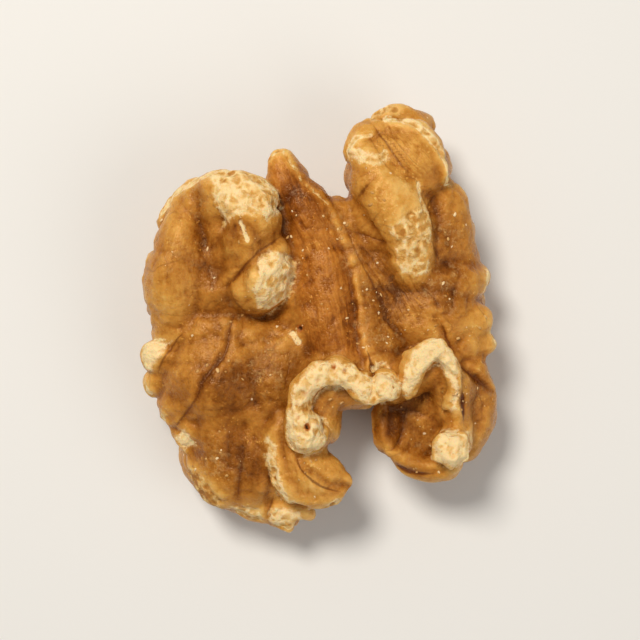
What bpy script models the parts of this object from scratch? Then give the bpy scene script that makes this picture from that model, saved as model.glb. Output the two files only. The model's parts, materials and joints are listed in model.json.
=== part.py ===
"""Half a walnut kernel, lying on its rounded back with the folded inner face up.

One grown piece: two wrinkled lobes joined by a flat strap that ends in the pointed tip.
X runs across the lobes, Y along the kernel towards the tip, Z up; the origin is on the
resting plane under the middle. Lengths in the lists are millimetres.
"""

import bmesh
import bpy
import numpy as np
from mathutils import Matrix, Vector, noise

MM = 0.001

# Driving dimensions, in millimetres
VOXEL = 0.26
SMOOTH_ROUNDS = 6
REST_LEVEL = 0.4
TRIANGLES = 11800

# Bends of the whole form: size of the noise, depth
WARPS = [(5.0, 0.45), (2.3, 0.12)]

# Swellings between creases: size of the noise, depth on the back, depth on the inner face
WRINKLES = [(5.0, 1.2, 0.16), (2.4, 0.16, 0.07)]
WRINKLE_LEVEL = 0.28
WRINKLE_BEND = 0.5
WRINKLE_STRETCH = (0.85, 1.15, 1.0)

# First seeds of the noises
WARP_SEED = 1
BEND_SEED = 20
WRINKLE_SEED = 87

# Colour and roughness of the skin
SKIN_COLOUR = (0.42, 0.19, 0.062, 1.0)
SKIN_ROUGHNESS = 0.5

# The rounded masses under the skin: centre, then half sizes
MASSES = {
    "left_upper": ((-7.3, 4.3, 6.3), (5.2, 6.7, 6.1)),
    "left_middle": ((-7.6, -4.0, 5.6), (5.1, 5.8, 5.6)),
    "left_lower": ((-5.7, -10.0, 4.8), (4.9, 5.4, 4.4)),
    "strap_root": ((0.2, 1.4, 5.1), (5.2, 8.6, 4.9)),
    "middle_floor": ((-3.4, -4.2, 5.2), (5.0, 6.5, 4.7)),
    "right_upper": ((6.4, 10.4, 6.2), (4.1, 4.9, 5.7)),
    "right_shoulder": ((7.7, 6.2, 5.9), (4.4, 5.0, 5.7)),
    "right_middle": ((8.3, 0.4, 5.4), (5.0, 4.8, 5.4)),
    "right_lower": ((9.3, -6.4, 5.4), (4.4, 5.2, 5.4)),
}

# The folds of the inner face: points along each crest, then the fold's radius there
FOLDS = {
    "strap": [
        (-2.7, 12.2, 9.2, 1.0),
        (-2.2, 10.6, 9.1, 1.5),
        (-1.1, 8.8, 8.9, 1.9),
        (-0.4, 6.6, 8.4, 2.2),
        (0.4, 3.0, 7.9, 2.6),
        (1.1, -0.8, 7.7, 2.8),
        (1.9, -3.6, 7.7, 2.7),
    ],
    "strap_left": [
        (-2.6, 10.2, 8.8, 1.0),
        (-2.4, 7.4, 8.5, 1.5),
        (-1.9, 4.0, 8.1, 1.8),
        (-1.1, 0.4, 7.7, 2.0),
    ],
    "strap_ridge": [
        (-1.0, 10.9, 9.7, 0.45),
        (0.7, 8.5, 10.0, 0.45),
        (1.8, 6.2, 10.1, 0.45),
        (2.7, 3.7, 10.1, 0.5),
        (3.3, 1.0, 10.1, 0.5),
        (3.9, -1.6, 10.1, 0.5),
        (4.2, -4.0, 10.1, 0.5),
    ],
    "strap_right": [
        (1.6, 8.0, 8.3, 1.2),
        (2.6, 5.2, 8.5, 1.4),
        (3.5, 2.0, 8.5, 1.5),
        (4.1, -1.0, 8.6, 1.5),
        (4.5, -3.4, 8.6, 1.4),
    ],
    "left_bulge": [
        (-9.6, 8.3, 8.3, 1.8),
        (-10.4, 5.8, 8.8, 2.1),
        (-10.9, 3.0, 8.4, 2.3),
        (-11.1, 0.6, 7.4, 2.1),
    ],
    "left_trough": [(-7.9, 7.8, 8.5, 2.2), (-7.5, 5.4, 8.3, 2.3), (-7.8, 2.2, 8.0, 2.4)],
    "left_crest": [
        (-8.6, 9.0, 9.4, 1.8),
        (-7.0, 9.6, 10.2, 2.0),
        (-5.3, 8.7, 10.5, 2.2),
        (-4.5, 7.2, 10.4, 2.1),
        (-4.6, 5.7, 10.0, 1.8),
    ],
    "left_nub": [(-6.2, 3.0, 8.9, 2.1), (-4.6, 2.5, 9.8, 2.2), (-3.9, 3.5, 10.1, 1.8)],
    "left_gyrus_a": [(-10.9, -0.8, 7.0, 1.9), (-9.2, -1.0, 7.8, 2.1), (-7.2, -1.0, 8.0, 2.0)],
    "left_bead": [(-12.4, -3.0, 7.5, 1.3), (-11.2, -3.0, 7.2, 1.4)],
    "left_bead_small": [(-12.7, -5.0, 6.7, 0.95), (-11.3, -4.9, 6.8, 1.3)],
    "left_gyrus_b": [(-11.0, -3.4, 7.2, 1.6), (-9.2, -3.4, 8.0, 1.9), (-7.6, -3.8, 8.1, 1.9)],
    "left_gyrus_c": [(-10.7, -6.6, 7.0, 1.5), (-9.2, -6.4, 7.7, 1.7), (-7.6, -6.2, 7.8, 1.6)],
    "left_gyrus_d": [(-10.5, -8.4, 6.7, 1.2), (-9.2, -8.6, 7.2, 1.6)],
    "left_spot": [(-10.2, -9.5, 7.0, 0.8), (-9.6, -9.8, 6.8, 1.0)],
    "left_skirt": [
        (-8.9, -11.2, 6.2, 1.4),
        (-7.8, -13.2, 6.1, 1.3),
        (-5.8, -14.2, 5.9, 1.3),
        (-3.8, -14.6, 5.8, 1.3),
        (-2.2, -15.0, 5.8, 1.2),
    ],
    "left_panel": [(-7.4, -7.9, 6.7, 2.3), (-6.8, -11.4, 6.2, 2.4)],
    "left_panel_inner": [(-4.9, -8.6, 6.0, 2.2), (-4.7, -12.2, 5.6, 2.2)],
    "floor_swell": [(-4.9, -1.6, 7.7, 2.0), (-3.9, -4.6, 7.4, 2.2), (-4.4, -7.0, 7.0, 2.1)],
    "tongue": [(-1.8, -9.2, 8.2, 2.0), (-0.9, -11.0, 8.0, 2.1), (0.4, -12.0, 7.8, 1.9)],
    "tongue_edge": [
        (-3.0, -7.6, 9.1, 0.8),
        (-3.5, -9.4, 9.2, 0.8),
        (-2.9, -11.6, 8.9, 0.85),
        (-1.3, -13.2, 8.5, 0.9),
        (0.6, -13.4, 8.2, 0.9),
        (1.9, -12.4, 8.2, 0.85),
    ],
    "winding_root": [
        (-0.3, -7.6, 8.4, 2.0),
        (0.0, -5.8, 8.5, 2.0),
        (1.5, -4.9, 8.5, 1.8),
        (3.6, -5.1, 8.1, 1.6),
    ],
    "winding_crest": [
        (-0.9, -8.4, 10.4, 1.7),
        (-1.5, -6.6, 10.9, 1.2),
        (-0.8, -4.9, 11.1, 1.15),
        (0.9, -4.0, 11.2, 1.1),
        (2.6, -4.4, 11.1, 1.05),
        (3.8, -5.3, 10.9, 1.05),
        (5.1, -5.1, 10.9, 1.2),
    ],
    "winding_right_root": [
        (5.8, -4.9, 8.6, 1.6),
        (7.6, -3.9, 8.8, 1.8),
        (9.4, -3.4, 8.6, 1.8),
        (10.7, -5.4, 8.0, 1.7),
    ],
    "winding_crest_right": [
        (5.3, -5.0, 10.5, 0.9),
        (6.6, -4.6, 10.3, 0.9),
        (7.8, -3.4, 10.8, 1.15),
        (9.2, -2.8, 11.0, 1.1),
        (10.4, -4.0, 10.8, 0.9),
        (11.0, -6.1, 10.2, 0.7),
        (11.1, -8.2, 9.7, 0.75),
    ],
    "white_nub": [(10.2, -9.9, 10.0, 1.5), (10.4, -9.0, 8.2, 1.9)],
    "cup_rim": [
        (5.6, -6.2, 7.8, 0.9),
        (5.4, -7.6, 7.9, 0.85),
        (5.7, -9.3, 7.8, 0.85),
        (6.9, -10.8, 7.5, 0.9),
        (8.6, -11.3, 7.4, 0.95),
        (10.2, -11.0, 7.6, 1.1),
    ],
    "cup_floor": [(8.0, -6.4, 6.3, 2.2), (8.0, -8.6, 6.0, 2.2)],
    "cup_leaf": [(6.7, -7.0, 7.6, 0.95), (6.8, -8.8, 7.4, 0.95)],
    "cup_rib": [(9.6, -5.2, 8.3, 0.75), (9.7, -7.6, 8.0, 0.7)],
    "right_skirt": [
        (11.8, -3.6, 6.9, 1.6),
        (12.4, -5.7, 6.5, 1.6),
        (12.2, -7.9, 6.3, 1.6),
        (11.4, -9.6, 6.2, 1.5),
    ],
    "knob_a": [(10.4, -0.1, 7.4, 1.9), (12.1, -0.1, 7.2, 1.6)],
    "knob_b": [(11.4, -1.6, 7.2, 1.6), (13.1, -1.9, 7.1, 0.85)],
    "right_ledge": [(8.8, 2.9, 7.9, 1.8), (11.2, 3.0, 7.2, 1.8)],
    "right_bulge": [(6.6, 0.6, 7.8, 1.9), (8.2, 0.8, 8.3, 1.6)],
    "right_back_fold": [(9.4, 8.9, 7.8, 2.2), (10.0, 6.4, 7.5, 2.1), (11.0, 4.6, 7.0, 1.5)],
    "right_gyrus": [
        (4.2, 12.0, 9.4, 1.8),
        (4.9, 10.1, 9.7, 2.2),
        (6.0, 8.8, 10.1, 2.2),
        (6.9, 7.2, 10.3, 1.9),
        (7.4, 5.2, 10.1, 1.4),
    ],
    "right_pad": [(5.4, 13.0, 9.0, 1.8), (7.2, 12.4, 8.9, 2.4), (8.0, 11.0, 8.5, 2.3)],
    "right_rim": [
        (3.2, 12.8, 9.8, 0.9),
        (3.9, 14.3, 9.7, 0.85),
        (5.6, 14.7, 9.8, 0.8),
        (7.5, 14.4, 10.0, 0.8),
        (8.9, 13.0, 10.1, 0.8),
        (9.6, 11.2, 10.0, 0.8),
    ],
    "right_top_knob": [(5.2, 15.2, 7.7, 1.3), (6.4, 15.6, 7.5, 1.4), (7.6, 15.0, 7.3, 1.4)],
    "valley": [
        (3.0, 7.4, 7.6, 1.8),
        (4.2, 4.2, 7.7, 2.0),
        (5.0, 1.2, 7.6, 2.0),
        (5.4, -1.8, 7.8, 1.9),
        (5.2, -3.4, 7.9, 1.9),
    ],
}

# Creases pressed into the upper side: the line in plan, its half width and its depth
CREASES = {
    "crest_nub": ([(-2.4, 5.8), (-4.3, 4.6), (-6.6, 3.1)], 0.4, 0.8),
    "trough": ([(-8.9, 9.4), (-8.6, 6.0), (-7.7, 2.8)], 0.9, 0.8),
    "nub_foot": ([(-6.6, 3.1), (-6.4, 1.6), (-5.3, 0.5), (-3.6, 0.3), (-2.4, 1.1)], 0.5, 0.6),
    "left_a": ([(-9.6, -0.4), (-10.6, -2.0), (-11.6, -4.2)], 0.35, 0.5),
    "left_b": ([(-6.6, -0.3), (-7.0, -2.3), (-8.7, -4.6), (-9.4, -6.7), (-11.2, -8.7)], 0.4, 0.6),
    "left_c": ([(-5.8, -9.0), (-6.0, -11.0), (-6.2, -14.2)], 0.4, 0.3),
    "left_d": ([(-3.4, -11.6), (-3.8, -13.2), (-3.9, -15.4)], 0.4, 0.4),
    "tongue": ([(-2.1, -9.4), (-0.9, -11.2), (0.9, -12.6), (2.3, -12.8)], 0.35, 0.45),
    "winding": ([(4.2, -3.6), (4.3, -5.8)], 0.25, 0.5),
    "right_vein": ([(9.0, -0.1), (10.0, -1.8), (11.4, -3.8), (13.6, -5.6)], 0.4, 0.5),
    "gyrus_a": ([(4.6, 11.2), (3.6, 9.7), (2.7, 8.5)], 0.4, 0.5),
    "gyrus_b": ([(3.1, 6.6), (5.0, 6.1), (6.2, 5.2)], 0.4, 0.4),
    "gyrus_back": ([(8.0, 10.4), (8.3, 8.0), (9.0, 5.6), (8.6, 3.9)], 0.4, 0.6),
    "cup_leaf": ([(5.9, -6.4), (7.7, -7.2), (7.8, -9.2), (6.6, -10.0)], 0.3, 0.45),
    "valley": ([(4.1, 0.4), (5.5, -0.8), (6.5, -2.0)], 0.35, 0.4),
}


def clear_scene():
    for obj in list(bpy.data.objects):
        bpy.data.objects.remove(obj)


def catmull_rom(points, steps):
    """Points on a smooth curve through the given ones, with the radius carried along as a fourth number."""
    p = np.array(points, float)
    p = np.vstack([2 * p[0] - p[1], p, 2 * p[-1] - p[-2]])
    t = np.linspace(0, 1, steps, endpoint=False)[:, None]
    pieces = []
    for a, b, c, d in zip(p, p[1:], p[2:], p[3:]):
        slope = c - a
        bend = 2 * a - 5 * b + 4 * c - d
        twist = 3 * b - a - 3 * c + d
        pieces.append(b + 0.5 * (slope * t + bend * t**2 + twist * t**3))
    return np.vstack([*pieces, p[-2]])


def add_ball(centre, radii, collection):
    """An ellipsoid, in millimetres."""
    mesh = bpy.data.meshes.new("ball")
    bm = bmesh.new()
    place = Matrix.Translation(centre) @ Matrix.Diagonal((*radii, 1.0))
    bmesh.ops.create_uvsphere(bm, u_segments=40, v_segments=24, radius=1.0, matrix=place)
    bm.to_mesh(mesh)
    bm.free()
    obj = bpy.data.objects.new("mass", mesh)
    collection.objects.link(obj)
    return obj


def add_fold(points, collection):
    """A round-ended fold of varying radius along a smooth route, in millimetres."""
    route = catmull_rom(points, 6)
    curve = bpy.data.curves.new("fold", "CURVE")
    curve.dimensions = "3D"
    curve.bevel_depth = 1.0
    curve.bevel_resolution = 5
    curve.use_fill_caps = True
    spline = curve.splines.new("POLY")
    spline.points.add(len(route) - 1)
    for point, (x, y, z, radius) in zip(spline.points, route):
        point.co = (x, y, z, 1.0)
        point.radius = radius
    obj = bpy.data.objects.new("fold", curve)
    collection.objects.link(obj)
    for x, y, z, radius in (route[0], route[-1]):
        add_ball((x, y, z), (radius, radius, radius), collection)
    return obj


def fuse(collection):
    """One closed mesh round all the forms of a collection, from a voxel remesh of the lot."""
    graph = bpy.context.evaluated_depsgraph_get()
    bm = bmesh.new()
    for obj in list(collection.objects):
        mesh = bpy.data.meshes.new_from_object(obj.evaluated_get(graph))
        bm.from_mesh(mesh)
        bpy.data.meshes.remove(mesh)
        bpy.data.objects.remove(obj)
    mesh = bpy.data.meshes.new("kernel")
    bm.to_mesh(mesh)
    bm.free()
    obj = bpy.data.objects.new("kernel", mesh)
    collection.objects.link(obj)
    remesh = obj.modifiers.new("fuse", "REMESH")
    remesh.mode = "VOXEL"
    remesh.voxel_size = VOXEL
    smooth = obj.modifiers.new("soften", "SMOOTH")
    smooth.factor = 0.5
    smooth.iterations = SMOOTH_ROUNDS
    apply_modifiers(obj)
    return obj


def apply_modifiers(obj):
    graph = bpy.context.evaluated_depsgraph_get()
    mesh = bpy.data.meshes.new_from_object(obj.evaluated_get(graph))
    obj.modifiers.clear()
    obj.data = mesh


def read_points(mesh):
    points = np.empty(len(mesh.vertices) * 3)
    mesh.vertices.foreach_get("co", points)
    normals = np.empty(len(mesh.vertices) * 3)
    mesh.vertices.foreach_get("normal", normals)
    return points.reshape(-1, 3), normals.reshape(-1, 3)


def write_points(mesh, points):
    mesh.vertices.foreach_set("co", points.ravel())
    mesh.update()


def smoothstep(low, high, value):
    t = np.clip((value - low) / (high - low), 0.0, 1.0)
    return t * t * (3.0 - 2.0 * t)


def noise_at(points, size, seed):
    """Smooth noise from -1 to 1 at each point, with features of about the given size."""
    offset = Vector((seed * 17.3, seed * 5.1, seed * 9.7))
    return np.array([noise.noise(Vector(p) / size + offset) for p in points])


def noise_vectors(points, size, seed):
    return np.stack([noise_at(points, size, seed + k) for k in range(3)], axis=1)


def distance_to_line(points, line):
    """Distance in plan from each point to a line through the given points."""
    xy = points[:, :2]
    nearest = np.full(len(points), np.inf)
    for start, end in zip(np.array(line, float), np.array(line[1:], float)):
        along = end - start
        t = np.clip(((xy - start) @ along) / (along @ along), 0.0, 1.0)
        nearest = np.minimum(nearest, np.linalg.norm(xy - start - t[:, None] * along, axis=1))
    return nearest


def warp(mesh):
    """Bends the round forms out of true, so that no fold stays a clean tube."""
    for step, (size, depth) in enumerate(WARPS):
        points, _ = read_points(mesh)
        write_points(mesh, points + noise_vectors(points, size, WARP_SEED + 3 * step) * depth)


def wrinkle(mesh):
    """Meandering swellings between sharp creases, deep on the back and sides, faint on the inner face."""
    for step, (size, back_depth, face_depth) in enumerate(WRINKLES):
        points, normals = read_points(mesh)
        bend = noise_vectors(points, size, BEND_SEED + 5 * step) * WRINKLE_BEND * size
        level = np.abs(noise_at((points + bend) * WRINKLE_STRETCH, size, WRINKLE_SEED + step))
        swelling = np.sqrt(np.clip(level / WRINKLE_LEVEL, 0.0, 1.0)) - 0.75
        outside = smoothstep(0.45, -0.35, normals[:, 2])
        depth = face_depth + (back_depth - face_depth) * outside
        write_points(mesh, points + normals * (swelling * depth)[:, None])


def press_creases(mesh):
    points, normals = read_points(mesh)
    upward = smoothstep(0.0, 0.5, normals[:, 2])
    drop = np.zeros(len(points))
    for line, width, depth in CREASES.values():
        drop = np.maximum(drop, depth * np.exp(-((distance_to_line(points, line) / width) ** 2)))
    points[:, 2] -= drop * upward
    write_points(mesh, points)


def rest_flat(mesh):
    """Levels the lowest swellings into small flats that the kernel rests on, and lowers it onto them."""
    points, _ = read_points(mesh)
    points[:, 2] = np.maximum(points[:, 2], REST_LEVEL) - REST_LEVEL
    write_points(mesh, points)


def coarsen(obj):
    decimate = obj.modifiers.new("coarsen", "DECIMATE")
    decimate.ratio = min(1.0, TRIANGLES / (2 * len(obj.data.polygons)))
    apply_modifiers(obj)


def centre_in_plan(mesh):
    """Moves the middle of the box, in plan, to the origin."""
    points, _ = read_points(mesh)
    points[:, :2] -= (points[:, :2].min(axis=0) + points[:, :2].max(axis=0)) / 2
    write_points(mesh, points)


def skin_material():
    material = bpy.data.materials.new("walnut_skin")
    material.use_nodes = True
    shader = material.node_tree.nodes["Principled BSDF"]
    shader.inputs["Base Color"].default_value = SKIN_COLOUR
    shader.inputs["Roughness"].default_value = SKIN_ROUGHNESS
    shader.inputs["Metallic"].default_value = 0.0
    return material


def main():
    clear_scene()
    collection = bpy.data.collections.new("walnut_kernel")
    bpy.context.scene.collection.children.link(collection)
    for centre, radii in MASSES.values():
        add_ball(centre, radii, collection)
    for points in FOLDS.values():
        add_fold(points, collection)
    kernel = fuse(collection)
    warp(kernel.data)
    wrinkle(kernel.data)
    press_creases(kernel.data)
    coarsen(kernel)
    rest_flat(kernel.data)
    centre_in_plan(kernel.data)
    kernel.data.transform(Matrix.Scale(MM, 4))
    kernel.data.shade_smooth()
    kernel.data.materials.append(skin_material())


main()
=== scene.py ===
"""The looks of half a walnut kernel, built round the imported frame: fine folds, fibres, veins and worn skin.

The tables and the mesh code are in millimetres: X across the lobes, Y towards the strap's tip, Z up. The mesh
becomes metres when it is done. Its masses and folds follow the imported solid's, with some of the masses lower
and with more small folds.
"""

import json

import bmesh
import bpy
import numpy as np
from mathutils import Matrix, Vector, noise

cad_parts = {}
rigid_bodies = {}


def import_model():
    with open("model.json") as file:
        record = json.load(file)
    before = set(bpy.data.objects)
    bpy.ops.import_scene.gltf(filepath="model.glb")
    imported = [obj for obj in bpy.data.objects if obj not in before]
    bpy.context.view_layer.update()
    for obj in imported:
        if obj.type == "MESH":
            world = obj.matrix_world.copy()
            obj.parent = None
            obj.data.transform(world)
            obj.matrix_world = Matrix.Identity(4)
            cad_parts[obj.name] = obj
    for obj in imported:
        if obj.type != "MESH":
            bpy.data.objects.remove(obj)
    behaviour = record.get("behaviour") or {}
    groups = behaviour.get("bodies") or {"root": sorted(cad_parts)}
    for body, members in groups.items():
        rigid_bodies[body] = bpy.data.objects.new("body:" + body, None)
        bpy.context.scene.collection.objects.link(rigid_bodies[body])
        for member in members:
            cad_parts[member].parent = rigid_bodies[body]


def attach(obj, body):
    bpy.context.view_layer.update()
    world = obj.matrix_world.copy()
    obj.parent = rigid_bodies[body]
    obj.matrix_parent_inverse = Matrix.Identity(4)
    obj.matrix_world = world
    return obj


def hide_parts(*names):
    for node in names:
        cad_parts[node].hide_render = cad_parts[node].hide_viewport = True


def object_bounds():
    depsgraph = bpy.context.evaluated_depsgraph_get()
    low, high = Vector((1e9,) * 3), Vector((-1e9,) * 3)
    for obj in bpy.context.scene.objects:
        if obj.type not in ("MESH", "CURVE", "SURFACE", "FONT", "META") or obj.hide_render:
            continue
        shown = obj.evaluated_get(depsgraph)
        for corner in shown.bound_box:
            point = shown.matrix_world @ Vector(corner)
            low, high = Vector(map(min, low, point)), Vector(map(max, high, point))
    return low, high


MM = 0.001

# Driving dimensions of the mesh
VOXEL = 0.195
SMOOTH_FACTOR = 0.5
SMOOTH_ROUNDS = 8
REST_LEVEL = 0.4
BALL_SEGMENTS = 40
BALL_RINGS = 24
TUBE_RESOLUTION = 5
CURVE_STEPS = 6
FIBRE_LINE_STEPS = 8

# Bends of the whole form: size of the noise, depth
WARPS = [(5.0, 0.45), (2.3, 0.12)]

# Swellings between creases: size of the noise, depth on the back, depth on the inner face
WRINKLES = [(5.0, 1.2, 0.16), (2.4, 0.16, 0.07)]

# The level where a swelling is whole, the part of it that counts as flat, its noise's bend and stretch
WRINKLE_LEVEL = 0.28
WRINKLE_MIDDLE = 0.75
WRINKLE_BEND = 0.5
WRINKLE_STRETCH = (0.85, 1.15, 1.0)

# First seeds of the noises, and how far one seed lies from the next along each axis of the noise
WARP_SEED = 1
BEND_SEED = 20
WRINKLE_SEED = 87
RELIEF_SEED = 130
FIBRE_SEED = 137
WORN_SEED = 150
RIDGE_SEED = 152
SEED_STEPS = (17.3, 5.1, 9.7)

# Fine relief of the skin: size of the noise, depth; and the share of it that fibres smooth away
RELIEF = [(2.1, 0.1), (1.0, 0.055), (0.5, 0.03)]
FIBRE_SMOOTHING = 0.6

# Relief of worn flesh: size of the noise, depth, how far it is sunk; and where it fades in at a patch's edge
WORN_RELIEF = [(0.8, 0.2, 0.05), (0.45, 0.08, 0.0)]
WORN_EDGE = (-0.1, 0.2)

# Lumps along the strap's ridge: size of the noise, depth, half width of the band
RIDGE_LUMPS = (0.7, 0.2, 0.5)

# How far up a normal points, from -1 to 1, where each of these starts and where it is whole
BACK_FACING = (0.45, -0.35)
MARK_FACING = (-0.1, 0.25)
CREASE_FACING = (0.0, 0.5)
PIT_FACING = (0.2, 0.6)
CRUMB_FACING = 0.3

# Where the marks of the inner face start: beyond this Y, on the upper lobes, and before it; and their rise
UPPER_LOBES_Y = 6.0
UPPER_MARKS_Z = 7.2
LOWER_MARKS_Z = 4.8
MARK_RISE = 1.0

# Rounds of smoothing that a sharp crease, and a wide hollow, are measured against
CREASE_ROUNDS = 5
HOLLOW_ROUNDS = 60

# A distance that counts as far from every patch or vein
FAR = 2.0

# The rounded masses under the skin: centre, then half sizes
MASSES = {
    "left_upper": ((-7.3, 4.3, 5.4), (5.2, 6.7, 5.4)),
    "left_middle": ((-7.6, -4.0, 5.2), (5.1, 5.8, 5.2)),
    "left_lower": ((-5.7, -10.0, 4.8), (4.9, 5.4, 4.4)),
    "strap_root": ((0.2, 1.4, 5.1), (5.2, 8.6, 4.9)),
    "middle_floor": ((-3.4, -4.2, 5.2), (5.0, 6.5, 4.7)),
    "right_upper": ((6.4, 10.4, 5.8), (4.1, 4.9, 5.3)),
    "right_shoulder": ((7.7, 6.2, 5.2), (4.4, 5.0, 5.0)),
    "right_middle": ((8.3, 0.4, 5.0), (5.0, 4.8, 5.0)),
    "right_lower": ((9.3, -6.4, 4.2), (4.4, 5.2, 4.2)),
}

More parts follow.
